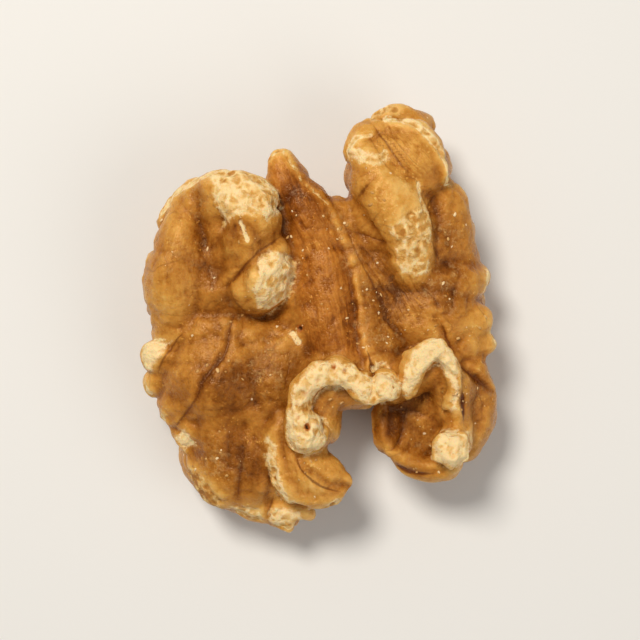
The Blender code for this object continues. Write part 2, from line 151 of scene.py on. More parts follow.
# The folds of the inner face: points along each crest, then the fold's radius there
FOLDS = {
    "strap": [
        (-2.7, 12.2, 9.2, 1.0), (-2.2, 10.6, 9.1, 1.5), (-1.1, 8.8, 8.9, 1.9), (-0.4, 6.6, 8.4, 2.2),
        (0.4, 3.0, 7.9, 2.6), (1.1, -0.8, 7.7, 2.8), (1.9, -3.6, 7.7, 2.7),
    ],
    "strap_left": [
        (-2.6, 10.2, 8.8, 1.0), (-2.4, 7.4, 8.5, 1.5), (-1.9, 4.0, 8.1, 1.8), (-1.1, 0.4, 7.7, 2.0),
    ],
    "strap_ridge": [
        (-1.0, 10.9, 9.35, 0.35), (0.7, 8.5, 9.55, 0.35), (1.8, 6.2, 9.55, 0.35), (2.7, 3.7, 9.6, 0.35),
        (3.3, 1.0, 9.65, 0.38), (3.9, -1.6, 9.75, 0.38), (4.2, -4.0, 9.85, 0.4),
    ],
    "strap_right": [
        (1.6, 8.0, 8.3, 1.2), (2.6, 5.2, 8.5, 1.4), (3.5, 2.0, 8.5, 1.5), (4.1, -1.0, 8.6, 1.5),
        (4.5, -3.4, 8.6, 1.4),
    ],
    "left_bulge": [
        (-9.7, 8.3, 8.6, 1.8), (-10.4, 5.8, 9.1, 2.1), (-10.8, 3.0, 8.8, 2.3), (-10.8, 0.8, 7.9, 2.1),
    ],
    "left_trough": [(-7.9, 7.8, 8.5, 2.2), (-7.5, 5.4, 8.3, 2.3), (-7.8, 2.2, 8.0, 2.4)],
    "left_crest": [
        (-8.6, 9.0, 9.4, 1.8), (-7.0, 9.6, 10.2, 2.0), (-5.3, 8.7, 10.5, 2.2), (-4.7, 7.1, 10.4, 2.1),
        (-5.1, 5.9, 10.1, 2.1),
    ],
    "left_nub": [(-5.5, 2.2, 9.8, 1.7), (-4.4, 2.7, 9.9, 2.2), (-3.9, 3.7, 9.9, 2.0)],
    "crest_nub_joint": [(-3.5, 5.1, 10.2, 1.4), (-4.7, 4.4, 10.3, 1.6), (-6.0, 3.5, 9.7, 1.6)],
    "left_corner": [(-11.7, 7.7, 7.4, 1.0), (-10.5, 8.9, 7.8, 1.15), (-9.0, 9.9, 8.4, 1.3)],
    "left_gyrus_a": [(-10.9, -0.8, 7.0, 1.9), (-9.2, -1.0, 7.8, 2.1), (-7.2, -1.0, 8.0, 2.0)],
    "left_bead": [(-12.4, -3.0, 7.5, 1.3), (-11.2, -3.0, 7.2, 1.4)],
    "left_bead_small": [(-12.7, -5.0, 6.7, 0.95), (-11.3, -4.9, 6.8, 1.3)],
    "left_gyrus_b": [(-11.0, -3.4, 7.2, 1.6), (-9.2, -3.4, 8.0, 1.9), (-7.6, -3.8, 8.1, 1.9)],
    "left_gyrus_c": [(-10.9, -6.6, 7.0, 1.6), (-9.2, -6.4, 7.7, 1.7), (-7.6, -6.2, 7.8, 1.6)],
    "left_gyrus_d": [(-10.5, -8.4, 6.7, 1.2), (-9.2, -8.6, 7.2, 1.6)],
    "left_edge_lump": [(-11.3, -7.8, 7.0, 1.0), (-10.2, -7.8, 7.3, 1.3)],
    "left_low_ridge": [(-11.6, -6.3, 7.2, 0.75), (-10.3, -6.5, 8.3, 0.75), (-9.1, -6.8, 8.6, 0.7)],
    "left_spot": [(-10.2, -9.5, 7.0, 0.8), (-9.6, -9.8, 6.8, 1.0)],
    "left_skirt": [
        (-8.9, -11.2, 6.2, 1.4), (-7.8, -13.2, 6.1, 1.3), (-5.8, -14.2, 5.9, 1.3), (-3.8, -14.6, 5.8, 1.3),
        (-2.2, -15.0, 5.8, 1.2),
    ],
    "panel_bridge": [(-9.4, -7.2, 7.1, 1.5), (-7.4, -7.0, 7.5, 2.1), (-5.0, -7.0, 7.2, 2.2)],
    "fringe_a": [(-5.7, -14.8, 5.9, 0.6), (-5.1, -15.3, 5.7, 0.45)],
    "fringe_b": [(-2.9, -15.5, 6.1, 0.55), (-2.2, -16.0, 5.9, 0.45)],
    "fringe_c": [(-1.3, -14.9, 6.1, 0.55), (-0.7, -15.4, 6.0, 0.4)],
    "tongue_chip": [(1.6, -13.1, 8.1, 0.5), (1.2, -14.0, 7.9, 0.4)],
    "edge_chip": [(-4.0, -9.6, 8.9, 0.5), (-4.3, -10.2, 8.8, 0.35)],
    "left_panel": [
        (-7.4, -6.4, 7.2, 2.3), (-7.5, -8.4, 7.3, 2.2), (-7.0, -10.4, 6.8, 2.3), (-6.7, -12.2, 6.1, 2.3),
    ],
    "left_panel_inner": [(-4.9, -7.2, 7.1, 2.2), (-4.8, -9.4, 6.8, 2.2), (-4.7, -12.2, 5.8, 2.2)],
    "floor_swell": [(-4.9, -1.6, 7.7, 2.0), (-3.9, -4.6, 7.4, 2.2), (-4.4, -7.0, 7.0, 2.1)],
    "tongue": [(-1.8, -9.2, 8.2, 2.0), (-0.9, -11.0, 8.0, 2.1), (0.4, -12.0, 7.8, 1.9)],
    "tongue_edge": [
        (-3.0, -7.6, 9.1, 0.8), (-3.5, -9.4, 9.2, 0.8), (-2.9, -11.6, 8.9, 0.85), (-1.3, -13.2, 8.5, 0.9),
        (0.6, -13.4, 8.2, 0.9), (1.9, -12.4, 8.2, 0.85),
    ],
    "winding_root": [
        (-0.3, -7.6, 8.4, 2.0), (0.0, -5.8, 8.5, 2.0), (1.5, -4.9, 8.5, 1.8), (3.6, -5.1, 8.1, 1.6),
    ],
    "winding_crest": [
        (-0.9, -8.4, 10.4, 1.7), (-1.5, -6.6, 10.9, 1.2), (-0.8, -4.9, 11.1, 1.15), (0.9, -4.0, 11.2, 1.1),
        (2.6, -4.4, 11.1, 1.05), (3.8, -5.3, 10.9, 1.05), (5.1, -5.1, 10.9, 1.2),
    ],
    "winding_right_root": [
        (5.8, -4.9, 8.6, 1.6), (7.6, -3.9, 8.8, 1.8), (9.4, -3.4, 8.6, 1.8), (10.7, -5.4, 8.0, 1.7),
    ],
    "winding_crest_right": [
        (5.3, -5.0, 10.4, 0.8), (6.6, -5.0, 10.1, 0.8), (7.3, -3.9, 10.6, 0.95), (8.1, -2.7, 10.9, 1.05),
        (9.2, -2.4, 11.0, 1.0), (10.1, -3.2, 10.8, 0.8), (10.5, -4.7, 10.3, 0.6), (10.7, -6.4, 9.8, 0.42),
        (10.8, -8.1, 9.3, 0.4),
    ],
    "limb_chip_a": [(10.3, -5.8, 10.1, 0.38), (10.1, -6.5, 9.9, 0.32)],
    "limb_chip_b": [(11.0, -6.9, 9.8, 0.38), (11.2, -7.5, 9.5, 0.32)],
    "arch_lump": [(7.0, -5.3, 10.4, 0.6), (7.9, -3.4, 11.2, 0.7), (9.3, -2.0, 11.2, 0.6)],
    "arch_wall": [(10.3, -4.6, 8.4, 1.4), (10.7, -6.6, 8.2, 1.3), (10.8, -8.4, 8.1, 1.3)],
    "white_nub": [(10.2, -9.9, 9.9, 1.4), (10.4, -9.5, 8.2, 1.6)],
    "nub_lump_a": [(9.5, -9.3, 10.3, 0.75), (9.3, -10.3, 10.0, 0.7)],
    "nub_lump_b": [(11.1, -10.5, 10.0, 0.7), (10.9, -9.3, 10.4, 0.7)],
    "nub_lump_c": [(10.1, -11.0, 9.9, 0.6), (10.2, -10.3, 10.9, 0.6)],
    "cup_rim": [
        (5.4, -6.2, 7.6, 0.85), (5.2, -7.6, 7.7, 0.8), (5.5, -9.3, 7.6, 0.8), (6.9, -10.8, 7.5, 0.9),
        (8.6, -11.3, 7.4, 0.95), (10.2, -11.0, 7.6, 1.1),
    ],
    "cup_floor": [(8.2, -6.4, 5.9, 2.2), (8.2, -8.6, 5.7, 2.2)],
    "cup_base": [(7.0, -6.4, 6.4, 1.7), (6.7, -8.6, 6.3, 1.7), (7.2, -10.1, 6.4, 1.6)],
    "cup_leaf": [(6.0, -6.7, 6.9, 1.4), (5.9, -8.6, 6.8, 1.4)],
    "cup_rib": [(9.4, -5.0, 8.5, 0.6), (9.7, -7.3, 8.3, 0.55)],
    "right_skirt": [
        (11.8, -3.6, 6.9, 1.6), (12.4, -5.7, 6.5, 1.6), (12.2, -7.9, 6.3, 1.6), (11.4, -9.6, 6.2, 1.5),
    ],
    "knob_a": [(10.4, -0.1, 7.4, 1.9), (12.1, -0.1, 7.2, 1.6)],
    "knob_b": [(11.4, -1.6, 7.2, 1.6), (13.1, -1.9, 7.1, 0.85)],
    "right_ledge": [(8.8, 2.9, 7.9, 1.8), (11.2, 3.0, 7.2, 1.8), (12.1, 3.1, 6.8, 1.5)],
    "right_bulge": [(6.6, 0.6, 7.8, 1.9), (8.2, 0.8, 8.3, 1.6)],
    "right_back_fold": [(9.6, 8.9, 7.3, 2.2), (10.2, 6.4, 7.2, 2.1), (11.1, 4.6, 7.0, 1.5)],
    "right_gyrus": [
        (4.2, 12.0, 9.4, 1.8), (4.9, 10.1, 9.7, 2.2), (6.0, 8.8, 10.0, 2.2), (6.9, 7.2, 9.8, 2.15),
        (7.3, 5.5, 9.1, 2.1), (7.4, 3.9, 8.3, 1.95),
    ],
    "gyrus_slope": [(3.9, 8.3, 8.4, 1.7), (5.0, 6.3, 8.3, 1.7), (5.9, 4.4, 8.1, 1.6)],
    "right_pad": [(5.4, 13.0, 9.0, 1.8), (7.2, 12.4, 8.9, 2.4), (8.0, 11.0, 8.5, 2.3)],
    "right_rim": [
        (3.2, 12.8, 9.8, 0.9), (3.9, 14.3, 9.7, 0.85), (5.6, 14.7, 9.8, 0.8), (7.5, 14.4, 10.0, 0.8),
        (8.9, 13.0, 10.1, 0.8), (9.6, 11.2, 10.0, 0.8),
    ],
    "right_top_knob": [(5.2, 15.2, 7.7, 1.3), (6.4, 15.6, 7.5, 1.4), (7.6, 15.0, 7.3, 1.4)],
    "valley": [
        (3.0, 7.4, 7.6, 1.8), (4.2, 4.2, 7.7, 2.0), (5.0, 1.2, 7.6, 2.0), (5.4, -1.8, 7.8, 1.9),
        (5.2, -3.4, 7.9, 1.9),
    ],
}

# Creases pressed into the upper side: the line in plan, its half width and its depth
CREASES = {
    "crest_nub": ([(-2.6, 6.0), (-4.3, 4.7), (-6.6, 2.9)], 0.22, 0.16),
    "trough": ([(-9.1, 9.2), (-8.8, 6.4), (-7.8, 3.6)], 0.9, 0.5),
    "nub_foot": ([(-6.7, 3.0), (-6.8, 1.6), (-5.8, 0.4), (-3.8, 0.0), (-2.3, 0.9)], 0.3, 0.2),
    "left_a": ([(-9.6, -0.4), (-10.6, -2.0), (-11.6, -4.2)], 0.3, 0.12),
    "left_b": ([(-6.6, -0.3), (-7.0, -2.3), (-8.7, -4.6), (-9.4, -6.7), (-11.2, -8.7)], 0.3, 0.12),
    "left_c": ([(-5.8, -9.0), (-6.0, -11.0), (-6.2, -14.2)], 0.35, 0.1),
    "left_d": ([(-3.4, -11.6), (-3.8, -13.2), (-3.9, -15.4)], 0.3, 0.25),
    "tongue": ([(-2.1, -9.4), (-0.9, -11.2), (0.9, -12.6), (2.3, -12.8)], 0.3, 0.3),
    "winding": ([(4.2, -3.6), (4.3, -5.8)], 0.2, 0.45),
    "right_vein": ([(9.0, -0.1), (10.0, -1.8), (11.4, -3.8), (13.6, -5.6)], 0.3, 0.25),
    "gyrus_a": ([(4.4, 10.7), (3.3, 9.5), (2.8, 8.5)], 0.3, 0.15),
    "gyrus_b": ([(2.2, 6.7), (3.9, 6.5), (6.0, 5.6)], 0.5, 0.12),
    "gyrus_back": ([(8.9, 9.6), (9.1, 8.4), (9.2, 6.8), (9.0, 5.2), (8.8, 3.8)], 0.3, 0.15),
    "cup_leaf": ([(6.6, -6.1), (6.8, -8.2), (6.0, -10.0), (5.1, -9.8)], 0.25, 0.05),
    "cup_rim": ([(4.9, -10.3), (6.0, -11.35), (7.8, -11.8), (9.6, -11.65)], 0.22, 0.1),
    "valley": ([(5.2, 0.1), (6.6, -1.5)], 0.22, 0.15),
}

# Veins in shallow creases of the skin: how dark and wide, and the line in plan
VEINS = {
    "crest_nub": (0.9, [(-2.1, 6.3), (-2.7, 6.0), (-4.3, 4.7), (-6.6, 2.8), (-7.2, 2.2)]),
    "bead": (0.8, [(-10.0, -0.8), (-11.3, -2.1), (-12.2, -3.9), (-12.3, -4.8)]),
    "left_long": (0.8, [
        (-6.2, 0.7), (-6.6, -0.8), (-7.1, -2.9), (-8.5, -4.2), (-9.2, -6.0), (-10.5, -7.9), (-11.5, -8.9),
    ]),
    "panel": (0.7, [(-5.6, -10.0), (-6.0, -11.8), (-6.3, -14.2)]),
    "fringe": (0.8, [(-3.2, -13.1), (-3.7, -14.8), (-4.0, -15.8)]),
    "tongue": (1.0, [(-1.8, -9.9), (-1.2, -11.2), (-0.2, -12.2), (1.2, -13.1), (1.9, -13.4)]),
    "winding": (1.2, [(3.9, -1.9), (4.2, -3.2), (4.3, -5.6)]),
    "right": (1.1, [(9.0, 0.1), (10.3, -2.1), (11.5, -3.6), (12.5, -4.6), (13.7, -5.6)]),
    "valley": (0.9, [(5.2, 0.1), (6.6, -1.5)]),
    "gyrus_fork": (0.9, [(4.4, 10.6), (3.5, 9.7), (2.8, 8.7)]),
    "gyrus_foot": (0.7, [(2.2, 6.8), (4.1, 6.4), (6.0, 5.7)]),
    "cup_leaf": (0.6, [(6.6, -6.1), (6.8, -8.2), (6.0, -10.0), (5.1, -9.8)]),
    "cup_rim": (1.3, [(4.6, -9.5), (5.2, -10.6), (6.2, -11.45), (7.8, -11.9), (9.4, -11.75)]),
    "crack": (1.8, [(11.1, -5.0), (11.4, -6.2), (11.4, -7.2), (11.3, -8.2)]),
    "floor": (0.5, [(-2.4, -2.0), (-2.3, -3.6), (-2.7, -5.6)]),
    "right_fork": (0.6, [(10.3, -2.1), (10.9, -3.4), (11.2, -5.0)]),
    "skirt": (0.5, [(12.4, -5.2), (12.9, -6.6), (12.6, -8.4)]),
    "ridge": (0.6, [(1.7, 8.0), (2.9, 5.2), (4.4, 2.6), (5.4, 0.4)]),
    "left_lobe": (0.35, [(-11.9, 5.6), (-11.2, 3.9), (-11.6, 2.2)]),
    "pad": (0.8, [(4.3, 14.9), (5.0, 13.7), (6.1, 12.2), (7.2, 11.0)]),
    "pad_left": (0.4, [(3.7, 14.4), (4.4, 13.1), (5.4, 11.7), (6.2, 11.0)]),
    "pad_right": (0.4, [(5.5, 14.6), (6.2, 13.2), (7.3, 12.0), (8.3, 11.2)]),
    "lobe_foot": (0.25, [(-12.6, 0.6), (-10.4, 0.2), (-8.2, 0.6)]),
    "nub_foot": (0.55, [(-6.7, 2.7), (-6.7, 1.7), (-6.0, 0.8), (-4.8, 0.3), (-3.5, 0.1), (-2.3, 0.8)]),
    "gyrus_side": (0.4, [(5.2, 8.9), (4.4, 7.6), (4.2, 6.4)]),
    "ledge": (0.6, [(7.4, 3.2), (8.8, 1.8), (9.0, 0.1)]),
}

# A vein's groove, and the length over which its ends fade
VEIN_HALF_WIDTH = 0.2
VEIN_DEPTH = 0.1
VEIN_TAPER = 1.2

# Where the skin is rubbed off and the cream flesh shows: how pale it is, from 0 to 1, and the outline
PATCHES = {
    "left_crest": (0.5, [
        (-8.1, 11.4), (-6.8, 12.0), (-5.4, 11.9), (-4.1, 11.2), (-3.3, 10.1), (-2.7, 9.0), (-2.8, 8.0),
        (-3.6, 7.2), (-4.4, 7.6), (-6.1, 7.9), (-7.0, 7.0), (-7.4, 8.1), (-7.9, 9.1), (-7.8, 10.2),
    ]),
    "left_nub": (0.78, [
        (-2.9, 5.2), (-1.8, 4.8), (-1.7, 3.2), (-1.9, 2.0), (-2.5, 1.1), (-3.4, 0.6), (-4.5, 0.8),
        (-4.8, 2.0), (-4.2, 3.2), (-4.3, 4.2), (-3.9, 4.9),
    ]),
    "bead": (1.0, [
        (-14.4, -3.6), (-14.4, -2.2), (-13.4, -1.5), (-12.4, -1.6), (-11.3, -1.8), (-12.0, -2.4),
        (-12.6, -3.2), (-12.8, -4.1), (-13.5, -4.4),
    ]),
    "spot": (1.0, [(-11.1, -9.4), (-10.6, -8.8), (-9.9, -9.0), (-9.5, -9.9), (-10.2, -10.4)]),
    "lower_edge": (0.15, [
        (-10.6, -11.6), (-9.3, -11.7), (-8.3, -12.6), (-7.4, -13.7), (-7.2, -15.4), (-9.6, -15.0),
    ]),
    "tongue_edge": (0.45, [
        (-4.1, -9.2), (-3.6, -9.4), (-3.4, -10.5), (-3.0, -11.8), (-2.4, -13.0), (-1.6, -13.8),
        (-2.0, -14.3), (-3.1, -13.4), (-3.8, -12.0), (-4.2, -10.5),
    ]),
    "fringe_left": (0.5, [(-6.8, -14.6), (-5.4, -14.4), (-4.4, -14.7), (-4.2, -16.0), (-6.4, -15.9)]),
    "fringe_right": (0.5, [
        (-3.6, -14.7), (-2.6, -14.5), (-1.3, -14.9), (-1.0, -16.2), (-2.6, -17.0), (-3.8, -15.8),
    ]),
    "winding": (0.66, [
        (-2.5, -7.9), (-2.4, -6.8), (-2.1, -5.6), (-1.5, -4.5), (-0.5, -3.5), (0.6, -3.1), (1.7, -3.1),
        (2.7, -3.5), (4.0, -4.0), (4.6, -3.3), (5.3, -3.4), (6.1, -4.5), (6.1, -5.9), (5.0, -6.5),
        (3.9, -6.3), (3.1, -5.5), (1.8, -5.3), (0.6, -5.3), (-0.1, -5.9), (0.0, -6.9), (0.7, -7.7),
        (0.9, -8.9), (0.2, -10.0), (-0.9, -10.3), (-2.0, -9.7), (-2.6, -8.7),
    ]),
    "curl": (0.5, [
        (2.1, 13.3), (2.7, 12.9), (3.3, 12.9), (3.9, 12.6), (4.6, 12.4), (5.2, 12.8), (5.6, 12.3),
        (4.8, 11.5), (3.9, 11.6), (3.0, 12.0), (2.2, 12.3),
    ]),
    "winding_right": (0.9, [
        (6.5, -5.9), (6.5, -4.4), (7.0, -3.0), (7.9, -2.0), (9.1, -1.4), (10.1, -2.1), (10.9, -3.4),
        (10.9, -4.6), (11.0, -5.6), (10.8, -6.8), (10.4, -6.9), (10.4, -5.4), (10.0, -4.4), (9.3, -3.6),
        (8.6, -3.7), (8.0, -4.3), (7.4, -5.2), (7.0, -6.0),
    ]),
    "white_nub": (0.75, [
        (8.8, -9.6), (9.5, -8.6), (10.6, -8.4), (11.7, -8.9), (12.0, -10.0), (11.4, -11.1), (10.6, -11.35),
        (9.5, -11.0), (9.0, -10.6),
    ]),
    "right_gyrus": (0.34, [
        (7.2, 8.4), (8.2, 8.9), (8.7, 7.5), (8.8, 6.3), (8.5, 5.0), (8.8, 3.9), (7.7, 3.7), (6.6, 3.8),
        (6.2, 5.0), (6.0, 6.2), (5.5, 6.8), (6.2, 7.5),
    ]),
}

# Thin worn edges and slivers: how pale, the line in plan and its half width
WORN_LINES = {
    "upper_left_edge": (0.7, [(-12.5, 8.1), (-11.0, 9.4), (-9.3, 10.7), (-8.1, 11.3)], 0.22),
    "sliver": (1.0, [(-5.7, 7.2), (-5.4, 6.6), (-5.0, 5.8)], 0.17),
    "small_bead": (0.5, [(-14.0, -4.3), (-13.9, -5.1), (-13.2, -5.7)], 0.25),
    "left_edge": (0.6, [(-12.3, -7.5), (-12.2, -8.6)], 0.3),
    "cup_rib": (0.15, [(9.6, -5.2), (9.75, -7.0)], 0.1),
    "bead_rim": (0.3, [(-12.9, -1.4), (-11.9, -1.5)], 0.12),
    "tongue_low": (0.5, [(-0.6, -14.9), (0.4, -14.5), (1.2, -13.9)], 0.2),
    "rim": (0.6, [(5.4, 15.4), (7.2, 15.0), (8.4, 14.1), (9.4, 13.0), (10.1, 11.6), (10.1, 10.6)], 0.33),
    "curl_top": (0.7, [(2.6, 13.2), (3.1, 13.8), (4.1, 13.9)], 0.22),
    "gyrus_line": (0.6, [(7.7, 10.4), (7.8, 9.0)], 0.14),
    "right_edge": (0.9, [(13.4, 4.2), (13.6, 2.8), (13.2, 2.0)], 0.32),
    "knob_edge": (0.5, [(13.6, -1.1), (14.0, -2.0)], 0.2),
    "top_knob": (0.2, [(4.5, 15.7), (5.3, 16.4), (6.2, 16.2)], 0.3),
    "strap_tip": (0.15, [(-3.8, 11.9), (-2.7, 13.0), (-1.8, 11.6), (-0.7, 9.9), (0.7, 8.7)], 0.07),
    "strap_ridge": (0.4, [(0.7, 8.6), (1.7, 6.4), (2.6, 4.0), (3.2, 1.4), (3.8, -1.2), (4.1, -2.8)], 0.0),
    "chip": (0.8, [(-2.1, -1.3), (-1.7, -1.9)], 0.26),
}

# How much more sharply a worn line ends at its sides than a patch does
LINE_CRISPNESS = 2.5

# Small holes: centre in plan, radius, depth, and how dark
PITS = {
    "pinhole": ((-0.75, -8.25), 0.3, 0.5, 1.0),
    "arch_a": ((1.2, -3.45), 0.22, 0.2, 0.5),
    "arch_b": ((2.15, -3.7), 0.2, 0.15, 0.35),
    "arch_c": ((-0.9, -5.6), 0.28, 0.12, 0.25),
    "arch_d": ((0.1, -4.6), 0.24, 0.1, 0.25),
    "arch_e": ((-1.6, -6.3), 0.24, 0.1, 0.2),
    "blob": ((-1.5, -7.4), 0.22, 0.12, 0.25),
    "black_dot": ((-1.5, -0.9), 0.26, 0.2, 1.0),
}

# How steep a hole's walls are
PIT_POWER = 4

# Lighter (above 0) and darker (below 0) parts of the skin: centre in plan, radius, amount
TONES = {
    "golden_gyrus": ((6.4, 10.2), 1.9, 0.65),
    "pad": ((7.0, 13.0), 2.2, 0.15),
    "top_knob": ((6.6, 16.4), 1.2, 0.5),
    "crest": ((-5.2, 8.6), 2.6, 0.25),
    "left_bulge": ((-11.4, 7.8), 1.2, 0.4),
    "left_low_bulge": ((-11.0, 2.2), 2.2, 0.2),
    "tongue": ((-0.7, -12.8), 1.9, 0.5),
    "lower_edge": ((-8.3, -12.8), 1.6, 0.45),
    "right_knob": ((12.6, -1.2), 1.5, 0.35),
    # Darker trough: painted shade of that shallow valley
    "trough": ((-8.3, 5.6), 1.5, -0.35),
    "strap_top": ((-1.4, 9.3), 2.2, -1.2),
    "strap_tip": ((-2.8, 12.3), 0.9, 0.25),
    "strap_mid": ((0.2, 3.4), 2.4, -0.4),
    "strap_low": ((1.4, -1.2), 2.0, -0.45),
    "left_middle": ((-7.3, -4.9), 2.2, -0.95),
    "left_lower": ((-7.0, -10.6), 2.6, -0.7),
    "panel_top": ((-5.6, -8.9), 1.3, 0.5),
    "right_middle": ((10.0, 2.4), 1.8, -0.8),
    "nub_skin": ((-5.6, 2.2), 1.1, 0.5),
    "skirt_right": ((12.6, -5.4), 1.6, -0.35),
    "crest_skin": ((-5.6, 6.6), 1.3, -0.85),
    "left_ridge": ((-10.4, 4.6), 2.4, -0.25),
    "nub_foot": ((-6.2, 0.2), 1.6, -0.3),
    "back_fold": ((10.8, 6.8), 2.1, -0.45),
    # Darker valley: partly the skin's own tone, partly painted shade of the valley floor
    "valley": ((4.8, 1.2), 2.4, -0.6),
    "middle_floor": ((-3.2, -4.6), 2.8, -0.45),
    "panel": ((-4.7, -11.4), 2.0, -0.5),
    "cup": ((7.8, -7.6), 2.6, -0.1),
    # Dark leaf: partly its own colour, partly painted shade of its pinched fold
    "cup_leaf": ((5.6, -8.0), 1.4, -1.3),
    "cup_lip": ((7.4, -12.3), 1.7, -0.6),
}

# Dusty, scuffed skin: centre in plan, radius, amount
DUST = {
    "floor": ((-4.4, -3.6), 2.2, 1.0),
    "nub_foot": ((-6.0, -0.2), 1.6, 0.8),
    "nub_side": ((-1.4, 4.6), 1.0, 0.6),
    "left_lobe": ((-10.6, 5.0), 2.6, 0.5),
    "left_lobe_low": ((-11.4, 1.4), 1.6, 0.7),
    "left_rim": ((-9.4, 9.6), 1.6, 1.0),
    "panel": ((-7.8, -11.4), 1.8, 0.9),
    "ridge": ((3.6, -0.6), 1.0, 1.0),
    "ridge_high": ((2.4, 4.6), 1.1, 1.0),
    "ridge_top": ((1.3, 7.4), 1.0, 1.0),
    "valley": ((5.2, -1.6), 1.4, 1.0),
    "valley_high": ((4.4, 2.8), 1.8, 0.6),
    "right_middle": ((9.6, 2.6), 2.4, 0.9),
    "back_fold": ((10.4, 7.0), 1.8, 0.9),
    "knob": ((12.0, -1.0), 1.6, 0.6),
    "skirt": ((12.4, -6.6), 2.0, 0.6),
    "cup_low": ((8.0, -10.2), 1.6, 0.7),
    "tongue": ((-0.4, -12.6), 2.0, 0.6),
    "arch_foot": ((1.6, -6.4), 1.2, 0.5),
}

# Fibrous skin: how strong its fibres show, its outline in plan, and the line that the fibres follow
FIBROUS = {
    "strap": (
        0.75,
        [
            (-2.7, 13.1), (-1.6, 11.5), (0.8, 8.7), (2.0, 6.2), (2.9, 3.7), (3.5, 1.0), (4.1, -1.6),
            (4.4, -3.7), (2.4, -3.2), (0.6, -2.8), (-1.0, -3.4), (-1.5, -1.0), (-1.8, 3.0), (-2.4, 7.4),
            (-3.6, 10.4), (-3.9, 11.9),
        ],
        [(-2.8, 13.2), (-1.4, 9.6), (0.2, 5.0), (1.4, 0.2), (2.2, -4.4)],
    ),
    "pad": (
        1.0,
        [(3.6, 15.4), (5.8, 15.2), (8.6, 13.2), (9.2, 11.2), (7.6, 10.4), (6.4, 11.4), (4.6, 13.6)],
        [(4.4, 15.4), (5.6, 13.6), (7.0, 11.9), (8.4, 10.6)],
    ),
    "valley": (
        0.8,
        [(2.6, 6.4), (5.8, 5.2), (8.6, 3.4), (8.6, 0.4), (6.8, -1.8), (4.6, -1.4), (3.8, 1.0)],
        [(2.2, 6.4), (4.4, 3.8), (6.2, 0.8), (7.6, -2.0)],
    ),
    "left_lobe": (
        0.45,
        [(-11.8, 8.4), (-8.6, 9.6), (-7.6, 7.0), (-7.4, 3.0), (-8.6, 0.6), (-12.2, 0.4), (-12.8, 4.0)],
        [(-9.6, 10.0), (-10.2, 6.0), (-10.4, 2.0), (-10.0, -0.6)],
    ),
    "panel": (
        0.25,
        [(-9.4, -8.6), (-4.4, -7.4), (-3.8, -10.4), (-3.6, -14.4), (-7.6, -14.2), (-9.6, -11.0)],
        [(-6.6, -6.0), (-6.2, -10.0), (-6.0, -15.6)],
    ),
    "middle": (
        0.35,
        [(-9.4, -1.0), (-4.4, 0.2), (-3.2, -3.0), (-3.4, -7.0), (-8.8, -6.6)],
        [(-7.6, 1.6), (-6.8, -3.0), (-8.4, -6.0), (-9.6, -8.0)],
    ),
    "tongue": (
        0.4,
        [(-3.4, -8.6), (-1.6, -9.8), (1.8, -12.8), (0.6, -14.4), (-2.0, -13.6), (-3.4, -11.4)],
        [(-3.2, -7.6), (-2.2, -11.0), (-0.4, -14.8)],
    ),
    "cup": (
        0.5,
        [(4.6, -6.2), (6.8, -5.6), (9.4, -5.0), (9.6, -7.6), (8.8, -10.0), (6.4, -10.6), (4.8, -9.6)],
        [(7.0, -4.6), (6.9, -7.6), (6.6, -11.2)],
    ),
}

# The fibres, the fade at the edge of their part, and what keeps the parts' fibres apart in the noise
FIBRE_SPACING = 0.34
FIBRE_STRETCH = 12.0
FIBRE_DEPTH = 0.05
FIBRE_EDGE = (-0.2, 0.9)
FIBRE_PARTING = 20.0

# Crumbs stuck to the skin: centre in plan and radius of the part that they lie on, and how many
CRUMBS = {
    "valley": ((5.4, -1.7), 0.9, 18),
    "valley_high": ((4.6, 1.6), 1.4, 8),
    "ridge_low": ((3.8, -1.6), 0.7, 12),
    "ridge_mid": ((3.1, 2.0), 0.7, 7),
    "ridge_high": ((1.6, 6.8), 0.9, 6),
    "crest_nub": ((-1.9, 6.0), 0.6, 6),
    "nub_side": ((-1.2, 4.2), 1.0, 7),
    "strap": ((-0.4, 8.6), 1.5, 7),
    "strap_low": ((0.8, 0.4), 2.4, 12),
    "nub": ((-5.2, 2.4), 0.9, 3),
    "nub_foot": ((-6.2, -0.2), 1.6, 9),
    "speck_and_glint": ((-1.7, -1.3), 0.5, 8),
    "floor": ((-3.4, -2.8), 2.0, 12),
    "middle": ((-7.6, -3.6), 2.6, 12),
    "left_lobe": ((-10.4, 4.0), 3.0, 12),
    "crest": ((-5.0, 6.6), 1.2, 5),
    "panel": ((-7.0, -9.8), 2.6, 12),
    "edge": ((-9.2, -11.0), 1.2, 5),
    "blob": ((0.9, -8.2), 1.0, 7),
    "arch_foot": ((1.4, -6.4), 1.0, 6),
    "tongue": ((-0.2, -11.8), 1.4, 8),
    "saddle": ((6.2, -4.4), 0.8, 10),
    "arch_limb": ((10.8, -5.6), 0.6, 12),
    "cup": ((7.6, -8.8), 1.8, 9),
    "cup_rim": ((6.8, -11.3), 1.4, 10),
    "nub_rim": ((10.0, -11.3), 0.8, 7),
    "gyrus": ((4.6, 8.8), 1.2, 4),
    "curl": ((3.4, 11.6), 1.0, 4),
    "back_fold": ((10.2, 6.8), 1.5, 14),
    "right_middle": ((9.4, 2.4), 2.0, 14),
    "right_knob": ((11.6, -0.8), 1.4, 7),
    "right_skirt": ((12.2, -6.4), 1.6, 6),
}

# A crumb's half size, its least and greatest stretch along each axis, its turn in radians and its lumps
CRUMB_SIZES = (0.045, 0.14)
CRUMB_STRETCH = ((0.7, 0.6, 0.45), (1.6, 1.0, 0.8))
CRUMB_TURN = 6.28
CRUMB_LUMPS = 0.5
CRUMB_LUMP_SCALE = 1.4
CRUMB_NOISE_SPAN = 50.0

# The share of the crumbs that is kept, how few of them are light, and their seed
CRUMB_SHARE = 0.6
CRUMB_SHADE_POWER = 1.6
CRUMB_SEED = 11


